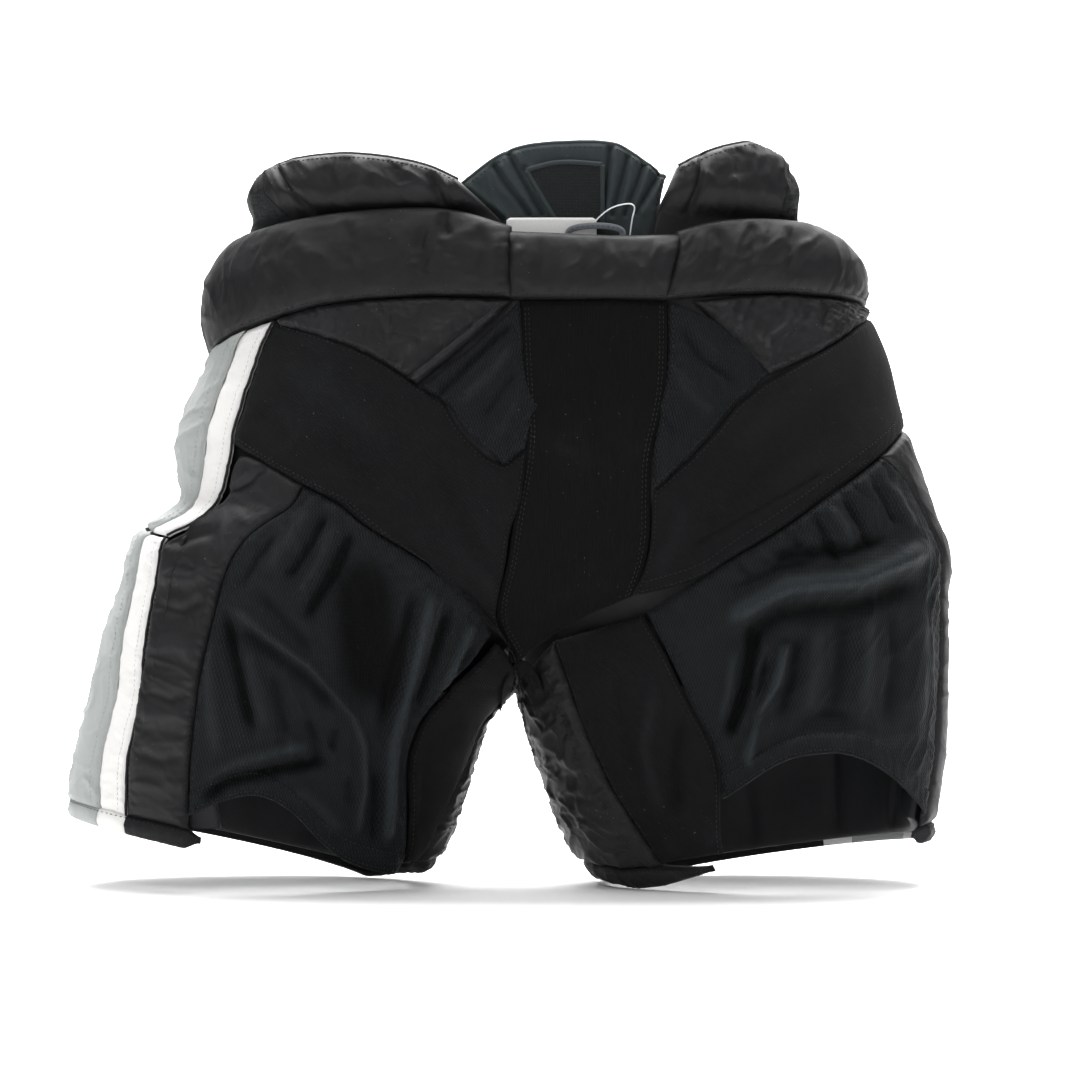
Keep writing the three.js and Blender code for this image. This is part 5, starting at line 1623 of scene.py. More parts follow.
@dataclass
class Front(Assembly):
    """The hips' front panels, the crotch, the laced fly and the belt with its cam buckle."""

    title: str = "front"
    fly_left: float = -30.0
    fly_right: float = 2.0
    facing_width: float = 24.0
    belt_z: float = 465.0
    belt_half: float = 19.0

    def lobe(self, side: Side, panel: Panel) -> Array:
        """How far the left hip stands out in front of the stripes: two bells, one upright and one across."""
        reach = 15.0 if side is Side.LEFT else 0.0
        upright = np.exp(-(((panel.z - 388) / 44) ** 2))
        return reach * upright * np.exp(-(((panel.far[Edge.LEFT] - 20) / 24) ** 2))

    def panels(self, side: Side) -> None:
        """The front panel and the stretch panel under it."""
        lines = {
            Side.LEFT: [(-42, 242), (-50, 300), (-32, 336), (self.fly_left, 430)],
            Side.RIGHT: [(38, 242), (30, 300), (4, 336), (self.fly_right, 430)],
        }
        centre = ring_line(side, lines[side], back=False)
        heights = [388, 400, 412, 422] if side is Side.LEFT else [388, 405, 425, 445, 462]
        outer = [(stripe_front(side, z) - 0.034, float(z)) for z in heights]
        outer[-1] = (outer[-1][0], band_foot(side, outer[-1][0]) + 2)
        top = [(s, max(band_foot(side, s) + 2, 425))
               for s in np.linspace(outer[-1][0], centre[-1][0], 6).tolist()]
        centre[-1] = (centre[-1][0], top[-1][1])
        panel = Panel(f"front_panel_{side.word}", on_side(
            side, Pattern(outer, centre, [outer[0], centre[0]], top)), 2.6)
        panel.height = panel.height + self.lobe(side, panel)
        panel.stuff(2.0, 22).rumple(26, 1.5, 100 + side.value, 20, 1.8).pucker(Edge.HIGH, 12, 2.0, 12, 102)
        panel.pucker(Edge.LOW, 10, 1.5, 9, 103).sew(2.4, 3.2)
        self.put(panel.build(Finish.NYLON, 1.5), WAIST, "nylon", panel.name)
        self.sew_edges(WAIST, panel, (Edge.LOW, 3.2), (Edge.LEFT, 3.2))
        edge = [(stripe_front(side, z) - 0.034, float(z)) for z in (305, 325, 345, 365, 386)]
        low = [edge[0], (-0.62, 221), (-0.85, 157), (-0.94, 169)]
        head = ring_line(side, [(-43, 240) if side is Side.LEFT else (39, 240)], back=False)[0]
        flex = Panel(f"front_flex_{side.word}", on_side(
            side, Pattern(edge, [low[-1], head], low, [edge[-1], head])), 2.6)
        flex.height = flex.height + self.lobe(side, flex)
        flex.stuff(1.4, 18).sway(60, 2.2, 105).pucker(Edge.LOW, 10, 1.6, 9, 106)
        flex.pucker(Edge.HIGH, 10, 1.4, 9, 107).sew(2.4, 3.2)
        self.put(flex.build(Finish.BAND, 1.5), side, "stretch", flex.name)
        self.sew_edges(side, flex, (Edge.LOW, 3.2), (Edge.HIGH, 3.2))

    def middle(self) -> None:
        """The crotch gusset and the tongue behind the fly."""
        gusset = Panel("crotch_gusset", seen_flat(False, Pattern(
            [(2, 181), (-40, 240), (-47, 300), (-29, 335)], [(20, 181), (36, 240), (28, 300), (1, 335)],
            scale=1)), 2.4)
        gusset.stuff(1.4, 16).pucker(Edge.LEFT, 9, 1.5, 8, 110)
        gusset.pucker(Edge.RIGHT, 9, 1.5, 8, 111).sew(2.4, 3.0)
        self.put(gusset.build(Finish.STRETCH, 1.5), WAIST, "stretch", "crotch_gusset")
        tongue = Panel("fly_tongue", front_box((-52, 24), (330, 492)), 2.6, -14.5)
        tongue.stuff(2.6, 10).rumple(30, 1.2, 112, 80, 1.6)
        self.put(tongue.build(Finish.NYLON, np.maximum(tongue.height + 19, 3)), WAIST, "nylon",
                 "fly_tongue", fill=0.6)

    def facing(self) -> None:
        """The facing round the fly with three eyelets on each side, and their rims."""
        width, half = self.facing_width, self.facing_width / 2
        strips = [
            ("fly_facing", (self.fly_left - width, self.fly_left), (338, 420), ("fly_facing",)),
            ("fly_facing_right", (self.fly_right, self.fly_right + width), (338, 420), ()),
            ("fly_facing_foot", (self.fly_left, self.fly_right), (338, 348), ()),
        ]
        for name, across, up, nodes in strips:
            strip = Panel(name, front_box(across, up), 1.6, 3.3)
            strip.rumple(18, 0.6, 113, 80, 2).sew(1.4, 1.6)
            self.put(strip.build(Finish.NYLON, 1.7), WAIST, "nylon", *nodes)
            self.sew_edges(WAIST, strip, (Edge.LEFT, 2.2), (Edge.RIGHT, 2.2))
        for column, x in enumerate((self.fly_left - half, self.fly_right + half)):
            for z in (362.0, 385.0, 408.0):
                turn = np.linspace(0, 2 * np.pi, 28, endpoint=False)
                ring = TRUNK.facing(False, x + 4.1 * np.cos(turn), z + 4.1 * np.sin(turn))
                out = np.broadcast_to([0.0, 1.0, 0.0], ring.shape)
                rim = tube(f"eyelet_{column}_{z:.0f}", Track(ring, out).lifted(3.6), 1.4, 0.7, 8, closed=True)
                self.put(coated(rim, Finish.STEEL), WAIST, "metal")
                spokes, sizes = np.meshgrid(np.linspace(0, 2 * np.pi, 25), np.linspace(0.05, 3.0, 4))
                disc = TRUNK.facing(False, x + sizes * np.cos(spokes), z + sizes * np.sin(spokes))
                disc[..., 1] += 3.45
                below = disc - [0.0, 0.6, 0.0]
                hole = wall(disc, below, np.zeros(disc.shape[:2] + (2,)))
                dark = make_mesh(f"eyelet_hole_{column}_{z:.0f}", *hole)
                self.put(coated(dark, Finish.LINING), WAIST, "foam")

    def belt(self) -> None:
        """The belt, which lies on the band at its ends and on the buckle in the middle."""
        up = (self.belt_z - self.belt_half, self.belt_z + self.belt_half)
        belt = Panel("belt", front_box((-150, 118), up), 2.0)
        off = np.abs(belt.u - 0.5)
        belt.height = 3.2 + 3.3 * smooth(1 - off * 3) + 3.2 * smooth((off - 0.12) / 0.1)
        belt.height = belt.height - 0.5 * np.exp(-((belt.near((Edge.LOW, Edge.HIGH)) / 1.5) ** 2))
        self.put(belt.build(Finish.WEBBING, 1.9), WAIST, "webbing", "belt")
        self.sew_edges(WAIST, belt, (Edge.LOW, 3.0), (Edge.HIGH, 3.0))
        dress("buckle_frame", Finish.STEEL)
        dress("buckle_lever", Finish.STEEL)

    def make(self) -> None:
        """Makes the front's pieces."""
        for side in Side:
            self.panels(side)
        self.middle()
        self.facing()
        self.belt()
        self.finish_rows()


# Seen from behind, as (x, z): the left edge, the right edge, the arched hem and the upper edge.
THIGH_OUTLINES = {
    Side.LEFT: (
        [(-257, 66), (-256, 102), (-250, 154), (-243, 202), (-235, 235), (-229, 263), (-193, 306),
         (-164, 335)],
        [(-88, 16), (-79, 71), (-80, 107), (-68, 139), (-35, 176), (-9, 213)],
        [(-257, 66), (-227, 80), (-198, 86), (-170, 70), (-150, 44), (-126, 24), (-88, 16)],
        [(-164, 335), (-128, 316), (-92, 290), (-40, 256), (-9, 213)],
    ),
    Side.RIGHT: (
        [(180, 80), (179, 102), (173, 123), (152, 161), (135, 197), (116, 232)],
        [(350, 62), (355, 87), (360, 145), (364, 207), (364, 268), (350, 311), (329, 349), (312, 359)],
        [(180, 80), (194, 90), (228, 113), (256, 118), (279, 118), (304, 108), (334, 82), (350, 62)],
        [(116, 232), (157, 255), (185, 275), (232, 302), (268, 328), (312, 359)],
    ),
}
THIGH_FOLDS = {
    Side.LEFT: (
        Fold(((-118, 296), (-112, 240), (-108, 190), (-104, 136)), 24, -11.0, 0.34),
        Fold(((-228, 243), (-216, 190), (-200, 122)), 6, -8.0),
        Fold(((-243, 226), (-238, 170), (-230, 104)), 7, 3.6),
        Fold(((-214, 214), (-202, 168), (-190, 128)), 9, 3.4),
        Fold(((-188, 190), (-180, 150), (-172, 122)), 6, -3.6),
        Fold(((-142, 314), (-156, 286), (-176, 258)), 4, -6.0, 0.15),
        Fold(((-120, 302), (-136, 268), (-162, 224)), 5, -6.5, 0.15),
        Fold(((-152, 318), (-170, 292), (-194, 262)), 5, 3.4),
        Fold(((-131, 308), (-146, 276), (-170, 240)), 4, 3.6),
        Fold(((-180, 300), (-200, 276), (-214, 250)), 4, -4.0),
        Fold(((-205, 256), (-176, 224), (-150, 196)), 7, -3.6),
        Fold(((-224, 240), (-190, 212), (-156, 188), (-122, 148), (-114, 124), (-113, 90),
              (-122, 44)), 3.4, 5.0, 0.08),
        Fold(((-218, 224), (-186, 200), (-158, 178), (-134, 150)), 6, -4.0, 0.15),
        Fold(((-56, 256), (-66, 216), (-76, 177), (-90, 130), (-93, 90), (-99, 36)), 5, 8.5, 0.1),
        Fold(((-66, 262), (-84, 190), (-104, 120)), 6, -5.5),
        Fold(((-40, 246), (-58, 190), (-78, 140)), 5, -7.0),
        Fold(((-24, 228), (-42, 186), (-62, 130)), 4.5, 7.0, 0.1),
        Fold(((-20, 214), (-44, 168), (-62, 128)), 4, -4.0),
        Fold(((-48, 250), (-62, 196), (-74, 150)), 2.5, 3.0, 0.1),
        Fold(((-106, 110), (-104, 70), (-108, 34)), 5, -5.0),
        Fold(((-250, 76), (-222, 95), (-182, 104), (-136, 112)), 5, -7.0, 0.15),
        Fold(((-250, 92), (-216, 110), (-180, 120), (-140, 128)), 6, 3.6),
        Fold(((-160, 150), (-152, 128), (-150, 108)), 5, -4.0), Fold(((-134, 140), (-140, 118)), 4, -4.0),
        Fold(((-176, 138), (-168, 116)), 4, 3.0), Fold(((-176, 94), (-150, 74), (-128, 46)), 7, 3.0),
        Fold(((-126, 100), (-124, 70)), 5, -3.0),
    ),
    Side.RIGHT: (
        Fold(((176, 224), (206, 240), (231, 254), (262, 257), (288, 259), (322, 272),
              (355, 288)), 8, 8.5, 0.12),
        Fold(((186, 204), (226, 232), (290, 238), (350, 260)), 9, -6.0, 0.15),
        Fold(((200, 270), (236, 280), (286, 284), (330, 296)), 7, -6.5),
        Fold(((180, 250), (226, 268), (262, 274)), 4, -4.0),
        Fold(((206, 222), (198, 172), (183, 127)), 6, -9.0, 0.15),
        Fold(((190, 212), (184, 170), (177, 134)), 5, 3.6),
        Fold(((231, 212), (222, 176), (206, 150), (198, 104)), 4.5, 8.0, 0.1),
        Fold(((218, 206), (209, 160), (196, 120)), 4, -5.0),
        Fold(((242, 222), (236, 180), (224, 140)), 6, -5.0),
        Fold(((250, 318), (262, 296), (276, 268)), 4, -5.0),
        Fold(((276, 332), (290, 306), (304, 284)), 4, -5.0),
        Fold(((262, 322), (276, 302), (288, 280)), 4, 4.0), Fold(((232, 300), (244, 284)), 4, -4.0),
        Fold(((300, 342), (314, 320), (326, 300)), 4, -4.5),
        Fold(((314, 340), (328, 316), (338, 296)), 4, 3.6), Fold(((190, 274), (204, 260)), 3.5, -3.5),
        Fold(((210, 286), (224, 272)), 3.5, 3.0), Fold(((258, 236), (254, 190), (246, 134)), 8, 3.0),
        Fold(((278, 240), (276, 190), (268, 140)), 9, -4.6),
        Fold(((296, 246), (298, 196), (290, 140)), 7, 3.4),
        Fold(((316, 250), (322, 190), (312, 130)), 8, -4.4),
        Fold(((340, 250), (346, 190), (338, 120)), 7, 3.4),
        Fold(((236, 140), (262, 150), (292, 146)), 6, -3.6),
        Fold(((214, 122), (250, 134), (290, 134), (322, 118)), 4, 2.6),
    ),
}
OUTER_LEFT_FOLDS = (
    Fold(((-290, 287), (-262, 290), (-228, 300)), 5, -3.4),
    Fold(((-288, 262), (-255, 258), (-232, 270)), 6, 2.6),
    Fold(((-292, 238), (-262, 232), (-240, 244)), 5, -2.4),
    Fold(((-296, 200), (-268, 206), (-246, 196)), 7, 2.4),
    Fold(((-298, 168), (-272, 160), (-250, 170)), 5, -2.2),
    Fold(((-302, 150), (-276, 146), (-252, 150)), 7, 2.0),
    Fold(((-305, 118), (-278, 110), (-258, 116)), 5, -2.2),
    Fold(((-231, 326), (-205, 340), (-190, 355)), 3.2, -3.2),
    Fold(((-306, 92), (-280, 88), (-260, 94)), 5, 1.6),
)


@dataclass
class Leg(Assembly):
    """One leg: the outer panel, the loose knitted back, the inner panels, the thigh guard and the hem."""

    side: Side = Side.LEFT
    title: str = "leg"

    def seen(self, points: Line) -> list[tuple[float, float]]:
        """A line seen from behind."""
        return ring_line(self.side, points)

    def outer(self) -> None:
        """The nylon panel between the stripes and the knitted back."""
        side = self.side
        rear = STRIPE_REAR[side]["thigh"]
        foot = (rear[0][0], hem_top(side, rear[0][0]))
        if side is Side.LEFT:
            inward = self.seen([(-257, 64), (-256, 102), (-250, 154), (-243, 202), (-235, 235), (-229, 263),
                                (-193, 306), (-164, 336)])
            outward = [foot, *rear[1:-1], self.seen([(-281, 290)])[0]]
            top = [outward[-1], *self.seen([(-250, 301), (-234, 318), (-224, 343), (-217, 365), (-190, 352),
                                            (-164, 336)])]
        else:
            inward = self.seen([(350, 60), (356, 87), (361, 145), (365, 207), (365, 268), (350, 311),
                                (329, 349), (312, 360)])
            outward = [foot, (-0.05, 300), (-0.05, 385)]
            top = [(-0.05, 385), *self.seen([(330, 377), (312, 360)])]
        inward[0] = (inward[0][0], hem_top(side, inward[0][0]))
        panel = Panel(f"outer_leg_panel_{side.word}", on_side(
            side, Pattern(outward, inward, [outward[0], inward[0]], top)), 1.9)
        panel.stuff(3.0, 22)
        if side is Side.LEFT:
            panel.fold(*OUTER_LEFT_FOLDS)
            panel.pucker(Edge.RIGHT, 8, 2.6, 9, 121).pucker(Edge.LEFT, 8, 2.0, 8, 122)
        panel.rumple(30, 1.1, 123 + side.value, 75, 2.2)
        panel.pucker(Edge.HIGH, 10, 1.8, 10, 124).sew(2.6, 3.0)
        self.put(panel.build(Finish.NYLON, 1.5), side, "nylon", panel.name)
        self.sew_edges(side, panel, (Edge.RIGHT, 2.6), (Edge.LEFT, 2.6), ends=(0.02, 0.97))

    def hamstring(self) -> None:
        """The loose knitted back of the thigh, with its folds and its arched hem."""
        side = self.side
        edges = [self.seen(line) for line in THIGH_OUTLINES[side]]
        panel = Panel(f"hamstring_mesh_{side.word}", on_side(side, Pattern(*edges)), 1.9)
        inside = smooth(panel.near((Edge.LEFT, Edge.RIGHT, Edge.HIGH)) / 16)
        panel.fold(*THIGH_FOLDS[side])
        panel.height = panel.height * inside
        panel.stuff(2.6, 20, (Edge.LEFT, Edge.RIGHT, Edge.HIGH))
        panel.rumple(26, 1.5, 131 + side.value, 10 if side is Side.LEFT else -25, 2.6, inside)
        panel.pucker(Edge.HIGH, 15, 4.6, 26, 134).pucker(Edge.LEFT, 9, 2.4, 12, 135)
        panel.pucker(Edge.RIGHT, 10, 2.6, 14, 136)
        panel.sew(2.6, 3.0, (Edge.LEFT, Edge.RIGHT, Edge.HIGH))
        hem = panel.far[Edge.LOW]
        panel.height = panel.height + 1.6 * smooth((18 - hem) / 2.0)
        panel.pucker(Edge.LOW, 11, 1.8, 16, 137)
        self.put(panel.build(Finish.TRICOT, 1.2), side, "mesh", panel.name)
        self.sew(side, panel.track(Edge.LOW, 2.4, lift=0.1), panel.track(Edge.LOW, 16.4, lift=0.1),
                 panel.track(Edge.LEFT, 3.0, 0.02, 0.97, 0.1), panel.track(Edge.RIGHT, 3.0, 0.02, 0.97, 0.1))
        self.piping(f"arch_roll_{side.word}", panel.track(Edge.LOW, 0.3, lift=-0.6), side,
                    Finish.TRICOT, 1.5, "mesh")

    def inner(self) -> None:
        """The stretch panel and the nylon panel of the inside of the leg."""
        side = self.side
        if side is Side.LEFT:
            lines = ([(-84, 22), (-76, 71), (-77, 107), (-66, 138), (-32, 173), (-5, 205)],
                     [(-70, 22), (-46, 71), (-28, 107), (-18, 139), (4, 160), (9, 182)], None, None)
        else:
            lines = ([(130, 24), (117, 45), (100, 69), (86, 92), (66, 137), (54, 171), (42, 206)],
                     [(180, 34), (178, 78), (177, 102), (171, 123), (150, 160), (133, 196), (114, 228)],
                     [(130, 24), (180, 34)], [(42, 206), (69, 215), (114, 228)])
        edges = [self.seen(line) if line else None for line in lines]
        stretch = Panel(f"inner_stretch_panel_{side.word}", on_side(side, Pattern(*edges)), 1.9)
        stretch.stuff(2.2, 14).sway(40, 1.8, 141, 20, 2.0)
        if side is Side.RIGHT:
            stretch.fold(Fold(((150, 160), (140, 110), (146, 50)), 6, -4.0),
                         Fold(((128, 190), (116, 120), (136, 50)), 7, 3.0),
                         Fold(((90, 196), (96, 150), (112, 90)), 6, -2.6))
        else:
            stretch.fold(Fold(((-58, 140), (-64, 90), (-72, 40)), 5, -2.6))
        stretch.pucker(Edge.LEFT, 9, 1.8, 8, 142).pucker(Edge.RIGHT, 9, 1.8, 8, 143).sew(2.4, 2.8)
        self.put(stretch.build(Finish.BAND, 1.5), side, "stretch", stretch.name)
        rear = edges[1] if side is Side.LEFT else edges[0]
        foot = hem_line(side, rear[0][0], 1.15, 5, HEM_HEIGHT - 1)
        left, right = [foot[0], *rear[1:]], [foot[-1], (1.15, 80), (1.15, 150)]
        top = [left[-1], (0.99, 174 if side is Side.LEFT else 182), (1.02, 167), right[-1]]
        nylon = Panel(f"inner_leg_panel_{side.word}", on_side(side, Pattern(left, right, foot, top)), 1.9)
        nylon.stuff(2.4, 14).rumple(18, 2.4, 145, 80, 1.6).fold(
            Fold(((30, 150), (60, 140)), 4, -2.2), Fold(((44, 110), (80, 100)), 5, 2.4),
            Fold(((50, 80), (96, 72)), 4, -2.2),
            Fold(((56, 56), (110, 52)), 5, 2.0))
        nylon.pucker(Edge.LEFT, 9, 2.2, 12, 146).pucker(Edge.RIGHT, 9, 1.6, 8, 147).sew(2.4, 2.8)
        self.put(nylon.build(Finish.NYLON, 1.5), side, "nylon", nylon.name)
        self.sew(side, nylon.track(Edge.LEFT, 3.0, lift=0.1), nylon.track(Edge.LEFT, 16.0, lift=0.1),
                 stretch.track(Edge.LEFT, 3.0, lift=0.1), stretch.track(Edge.RIGHT, 3.0, lift=0.1))

    def saddle(self) -> None:
        """The cloth under the crotch: an arch from side to side that sags from back to front."""
        u, t = np.meshgrid(np.linspace(-1, 1, 21), np.linspace(0, 1, 31))
        x = 12 + 17 * u + 4 * (1 - t)
        y = -54 + 98 * t
        z = 190 - 7 * t - 19 * np.sin(np.pi * t) - 22 * u ** 2 + 1.2 * noise(u * 2, t * 6, 149)
        grid = np.stack([x, y, z], -1)
        piece = make_mesh("crotch_saddle", *wall(grid, grid + [0, 0, 1.4], np.stack([x, y], -1) * MM))
        self.put(outward_mesh(coated(piece, Finish.STRETCH)), WAIST, "stretch")

    def guard(self) -> None:
        """The nylon cover of the thigh guard, its hard plate and its lined foam."""
        side = self.side
        edge = [(stripe_front(side, z) - 0.010, float(z)) for z in (60, 90, 130, 180, 220, 260, 299)]
        top = [edge[-1], (-0.62, 217), (-0.84, 153)]
        foot = hem_line(side, edge[0][0], -0.84, 8, HEM_HEIGHT)
        edge[0] = foot[0]
        cover = Panel(f"thigh_cover_{side.word}", on_side(
            side, Pattern(edge, [foot[-1], top[-1]], foot, top)), 2.6)
        cover.stuff(3.2, 30).rumple(34, 1.8, 151 + side.value, 70, 2.0).pucker(Edge.HIGH, 11, 2.0, 12, 152)
        cover.pucker(Edge.LEFT, 9, 1.8, 8, 153).pucker(Edge.LOW, 10, 1.6, 10, 154).sew(2.6, 3.2)
        self.put(cover.build(Finish.NYLON, 1.5), side.body, "nylon", cover.name)
        self.sew_edges(side.body, cover, (Edge.HIGH, 3.2), (Edge.LEFT, 3.2), (Edge.LOW, 4.0))
        dress(f"thigh_plate_{side.word}", Finish.PLATE)
        rear = 0.44 if side is Side.LEFT else 0.12
        foam_foot = hem_line(side, rear, -0.92, 15, 5.0)
        foam_foot[:3] = [(s, z + rise) for (s, z), rise in zip(foam_foot, (16, 7, 2))]
        foam_top = [(rear, 262), (0.1, 282), (-0.2, 284), (stripe_front(side, 280) - 0.02, 284),
                    (-0.62, 204), (-0.92, 142)]
        foam = Panel(f"thigh_foam_{side.word}", on_side(side, Pattern(
            [foam_foot[0], foam_top[0]], [foam_foot[-1], foam_top[-1]], foam_foot, foam_top)), 3.2, -9.5)
        channel = np.exp(-((np.abs((foam.u * 6) % 1 - 0.5) / 0.08) ** 2))
        quilt = 3.0 * channel * smooth(foam.near(tuple(Edge)) / 20)
        inner = 19 + 2.0 * rounded(foam.near(tuple(Edge)) / 16) - quilt - 4
        wavy = 1.2 * noise(foam.uv[..., 0] / 34, foam.uv[..., 1] / 50, 155)
        self.put(foam.build(Finish.LINING, np.maximum(inner - 9.5 + wavy + 2, 2.5)), side.body, "foam",
                 foam.name, fill=0.8)

    def hem(self) -> None:
        """The rolled binding of the bottom of the leg."""
        side = self.side
        rear, last = (0.41, -1.10) if side is Side.LEFT else (0.13, -1.41)
        first = STRIPE_REAR[side]["thigh"][0][0]
        marks = [TRUNK.along_ring(side, first, 50.0, distance)
                 for distance in (WHITE_WIDTH, WHITE_WIDTH + GREY_WIDTH, STRIPES_WIDTH)]
        spans = [
            ("leg_hem", rear, first, Finish.TAPE, "nylon", (f"leg_hem_{side.word}",)),
            ("leg_hem_white", first, marks[0], Finish.WHITE, "white", ()),
            ("leg_hem_grey", marks[0], marks[1], Finish.GREY, "grey", ()),
            ("leg_hem_white_front", marks[1], marks[2], Finish.WHITE, "white", ()),
            ("leg_hem_inner", marks[2], last, Finish.TAPE, "nylon", ()),
        ]

        def place(start: float, stop: float) -> Place:
            def spot(u: Array, t: Array) -> Array:
                s = start + (stop - start) * u
                s = np.where(s < -1, s + 2, s)
                size = np.ones_like(u)
                if start == rear:
                    size = 0.3 + 0.7 * smooth(u / 0.2)
                if stop == last:
                    size = 0.3 + 0.7 * smooth((1 - u) / 0.14)
                return TRUNK.surface(side, s, hem_z(side, s) + (0.5 + (t - 0.5) * size) * HEM_HEIGHT)
            return spot

        for name, start, stop, finish, slot, nodes in spans:
            panel = Panel(f"{name}_{side.word}", place(start, stop), 2.0)
            end = np.ones_like(panel.u)
            if name == "leg_hem":
                end = smooth(panel.far[Edge.LEFT] / 14)
            if name == "leg_hem_inner":
                end = smooth(panel.far[Edge.RIGHT] / 14)
            roll = np.sqrt(np.clip(4 * panel.t * (1 - panel.t), 0, 1))
            panel.height = -3.0 + 5.5 * end * roll - 4 * (1 - end)
            panel.rumple(14, 1.2, 161, 10, 1.2)
            piece = panel.build(finish, np.maximum(panel.height + 7.5, 2.0))
            self.put(piece, side.body, slot, *nodes, fill=0.9)
            self.sew_edges(side.body, panel, (Edge.HIGH, 2.6))

    def make(self) -> None:
        """Makes the leg's pieces."""
        self.title = f"leg_{self.side.word}"
        self.outer()
        self.hamstring()
        self.inner()
        if self.side is Side.LEFT:
            self.saddle()
        self.guard()
        self.hem()
        self.finish_rows()


@dataclass
class BackGuard(Assembly):
    """The floating guard behind the waistband: the ribbed spine pad between two kidney pads."""

    title: str = "back_guard"
    ribs: tuple[tuple[tuple[float, float], ...], ...] = (
        ((-12, 602), (23, 557)), ((1, 613), (34, 557)), ((14, 600), (47, 557)), ((-42, 584), (1, 553)),
        ((90, 618), (80, 556)), ((106, 610), (90, 556)), ((138, 597), (109, 559)), ((122, 604), (100, 557)),
    )

    def spine(self) -> None:
        """The spine pad with its sewn ribs, its mesh window and its plate."""
        pad = Panel("spine_pad", flat_back(
            [(14, 508), (8, 540), (-42, 583)], [(124, 508), (130, 545), (141, 593)],
            high=[(-42, 583), (-14, 604), (6, 614), (31, 619), (90, 621), (112, 611), (141, 593)]),
            1.7, -28.0)
        pad.stuff(5.0, 10)
        pad.fold(*(Fold(rib, 2.6, -4.2, 0.05) for rib in self.ribs))
        pad.fold(*(Fold(tuple((x + 6, z) for x, z in rib), 4.0, 1.8, 0.1) for rib in self.ribs))
        pad.rumple(18, 0.8, 171, 10, 2.0)
        self.put(pad.build(Finish.SPINE, np.maximum(pad.height + 41, 3)), "back_guard", "spine", "spine_pad",
                 fill=0.8)
        vent = Panel("spine_vent", flat_back([(46, 550), (19, 595)], [(82, 550), (82, 600)],
                                             high=[(19, 595), (45, 603), (82, 600)]), 1.5, -21.0)
        vent.stuff(0.8, 5)
        self.put(vent.build(Finish.COARSE, 1.0), "back_guard", "mesh", "spine_vent")
        for number, edge in enumerate((Edge.LEFT, Edge.HIGH, Edge.RIGHT)):
            self.piping(f"window_rim_{number}", vent.track(edge, 0.0, lift=0.4), "back_guard",
                        Finish.SPINE, 2.0, "spine", 0.6)
        self.piping("spine_edge", pad.track(Edge.HIGH, 1.0, lift=-0.5), "back_guard",
                    Finish.SPINE, 2.2, "spine", 0.8)
        self.sew_edges("back_guard", pad, (Edge.HIGH, 5.0), (Edge.LEFT, 4.0), (Edge.RIGHT, 4.0), lift=0.2)
        dress("spine_plate", Finish.PLATE)

    def lobe(self, side: Side) -> None:
        """A kidney pad: hidden behind the band below, and bulging out over it above."""
        seen = lambda line: ring_line(side, line)
        if side is Side.LEFT:
            left = [(0.1, 524), (0.1, 545), *seen([(-226, 566)])]
            right = seen([(8, 512), (6, 548), (-38, 586)])
            low = [(0.1, 524), (0.25, 518), *seen([(-60, 512), (8, 512)])]
            high = seen([(-226, 566), (-222, 583), (-205, 598), (-189, 606), (-130, 612), (-66, 601),
                         (-38, 586)])
            folds = (Fold(((-191, 605), (-178, 584), (-160, 562)), 2.6, -4.5, 0.05),
                     Fold(((-62, 593), (-54, 578), (-47, 562)), 3.0, -4.0),
                     Fold(((-86, 600), (-80, 580)), 6, -1.8), Fold(((-120, 606), (-116, 576)), 9, 1.8),
                     Fold(((-148, 600), (-140, 574)), 7, -1.6))
            vent = ([(-227, 540), (-205, 580)], [(-184, 562), (-199, 583)])
        else:
            left = seen([(122, 512), (124, 548), (146, 598)])
            right = seen([(262, 516), (263, 540), (257, 560), (250, 580), (243, 598), (231, 611)])
            low = seen([(122, 512), (200, 512), (262, 516)])
            high = seen([(146, 598), (170, 612), (203, 622), (218, 619), (231, 611)])
            folds = (Fold(((167, 614), (160, 580), (151, 548)), 3.2, -5.0, 0.08),
                     Fold(((238, 604), (240, 572)), 3.4, -3.0),
                     Fold(((190, 616), (192, 586)), 8, -1.8), Fold(((214, 614), (216, 584)), 8, 1.8))
            vent = ([(236, 562), (232, 590)], [(251, 562), (243, 584)])
        place = on_side(side, Pattern(left, right, low, high))
        pad = Panel(f"kidney_pad_{side.word}", place, 2.0)
        rise = lambda z: 11 * smooth((z - 560) / 22)
        pad.height = -14 + rise(pad.z)
        above = smooth((pad.z - 556) / 14)
        rim = rounded(pad.near((Edge.LEFT, Edge.RIGHT, Edge.HIGH)) / 24)
        pad.height = pad.height + above * (9.0 * rim - 2.5)
        keep = pad.height.copy()
        pad.fold(*folds)
        pad.rumple(26, 1.7, 181 + side.value, 15, 1.6)
        pad.pucker(Edge.HIGH, 14, 2.0, 12, 183)
        pad.height = keep + (pad.height - keep) * above
        inner = np.minimum(-25 + rise(pad.z), pad.height - 4.0)
        self.put(pad.build(Finish.NYLON, pad.height - inner), "back_guard", "nylon", pad.name, fill=0.8)
        self.sew_edges("back_guard", pad, (Edge.HIGH, 4.0), ends=(0.02, 0.98))
        self.piping(f"kidney_edge_{side.word}", pad.track(Edge.HIGH, 0.2, lift=-1.5), "back_guard",
                    Finish.TAPE, 2.0, flat=0.9)
        mesh = Panel(f"kidney_vent_{side.word}", on_side(side, Pattern(seen(vent[0]), seen(vent[1]))), 1.6)
        mesh.cling(pad, 0.5)
        self.put(mesh.build(Finish.COARSE, 1.0), "back_guard", "mesh", mesh.name)

    def make(self) -> None:
        """Makes the guard's pieces."""
        self.spine()
        for side in Side:
            self.lobe(side)
        self.finish_rows()


